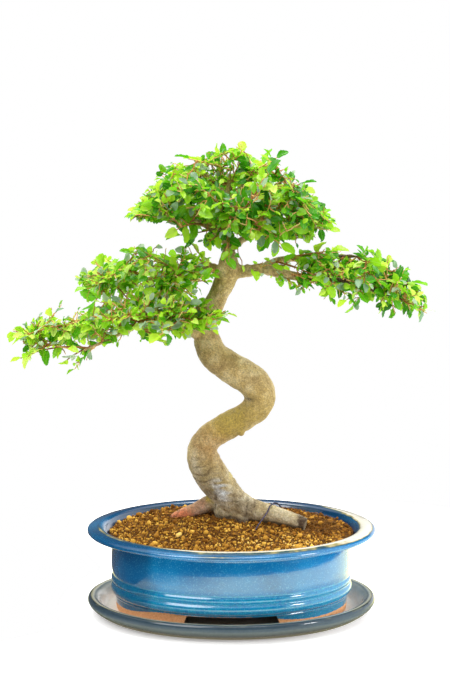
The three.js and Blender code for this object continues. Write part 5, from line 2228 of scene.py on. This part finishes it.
    def make_camera(self) -> None:
        """The camera, level from side to side and tipped down a little."""
        data = bpy.data.cameras.new("camera")
        data.sensor_width = self.sensor
        data.lens = self.focal * self.sensor / max(IMAGE)
        data.clip_start, data.clip_end = 0.05, 50
        camera = put("camera", data)
        camera.location = np.array(self.camera) * MM
        camera.rotation_euler = (math.pi / 2 - self.down, 0, 0)
        bpy.context.scene.camera = camera


def dress_nets(nodes: dict[str, Object], net: Material) -> None:
    """Gives the drainage nets, which stay as they are, their moulded plastic.

    Args:
        nodes: the frame's objects by node.
        net: their finish.
    """
    for name in ("drain_mesh_left", "drain_mesh_right"):
        nodes[name].data.materials.clear()
        nodes[name].data.materials.append(net)


def wood_places() -> Array:
    """Places with radii along the trunk's foot, the roots and the wire, which crumbs keep clear of.

    Returns:
        Rows of x, y, z and radius.
    """
    shares = np.linspace(0, 1, 80)
    rows = [np.column_stack([Limb(p).line(shares), Limb(p).radius(shares)]) for p in (TRUNK, *ROOTS.values())]
    places = np.vstack(rows)
    return places[places[:, 2] < 130]


def main() -> None:
    """Builds the bonsai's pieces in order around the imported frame."""
    logging.basicConfig(level=logging.INFO, format="%(name)s: %(message)s")
    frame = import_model()
    Studio().build()
    # Grey-blue glaze gives the tray a pale rim line, partly a painted highlight, and a near-white well, partly a
    # painted reflection; cobalt glaze gives the pot its deep wet blue.
    DripTray().build(TrayGlaze("grey_blue_glazed_stoneware", roughness=0.12, ior=1.42).material())
    Pot().build(PotGlaze("cobalt_glazed_stoneware", roughness=0.035, ior=1.5).material())
    # Moulded polyethylene, near black and half dull, keeps the nets dark in the drain holes.
    net = Drawn("moulded_polyethylene", roughness=0.5, ior=1.5, code="#242424")
    dress_nets(frame["nodes"], net.material())
    # Baked clay gives matt crumbs from burnt brown to straw, damp humus the brown earth that shows between them.
    clay = ("#68400f", "#8c5a1a", "#b98430", "#dca843", "#f4c65a", "#ffe28c")
    crumbs = Scattered("baked_clay_crumbs", roughness=0.95, ior=1.3, tones=clay, grain=0.9, depth=0.25).material()
    brown = ("#5c3a12", "#80561e", "#a4762e", "#c89a48")
    earth = Scattered("damp_humus", roughness=0.98, ior=1.4, tones=brown, grain=1.3, depth=0.4).material()
    soil = Soil()
    soil.build(earth)
    keep_out = wood_places()
    soil.scatter("crumbs_coarse", 330, 1.3, 2.8, 2, 5, keep_out, crumbs)
    soil.scatter("crumbs_middling", 1900, 0.6, 1.2, 2, 17, keep_out, crumbs)
    soil.scatter("crumbs_fine", 8000, 0.4, 0.9, 1, 29, keep_out, crumbs)
    soil.fibres(170, earth, keep_out)
    # Anodised aluminium is a dark violet-brown metal with one long soft highlight on the arch.
    wire = Drawn("anodised_aluminium_wire", roughness=0.4, ior=1.5, code="#463f55", metallic=0.6)
    TrainingWire().build(wire.material())
    # Elm bark is dry and dull, grey over ochre, with moss-green and flushed places.
    Wood().build(Bark("elm_bark", roughness=0.82, ior=1.45).material())
    # An elm's leaf has a waxy gloss above, and lets the light through yellow-green at the tiers' edges.
    skin = LeafSkin("elm_leaf", roughness=0.27, ior=1.5, through=0.45).material()
    # Young bark is a warm brown that draws thin ochre lines among the leaves.
    tan = ("#7a4a1c", "#b47a38", "#dca660", "#e4c87e")
    twig = Scattered("young_elm_bark", roughness=0.7, ior=1.45, tones=tan, grain=0.8, depth=0.1).material()
    Foliage().build(list(frame["nodes"]), skin, twig)


if __name__ == "__main__":
    main()
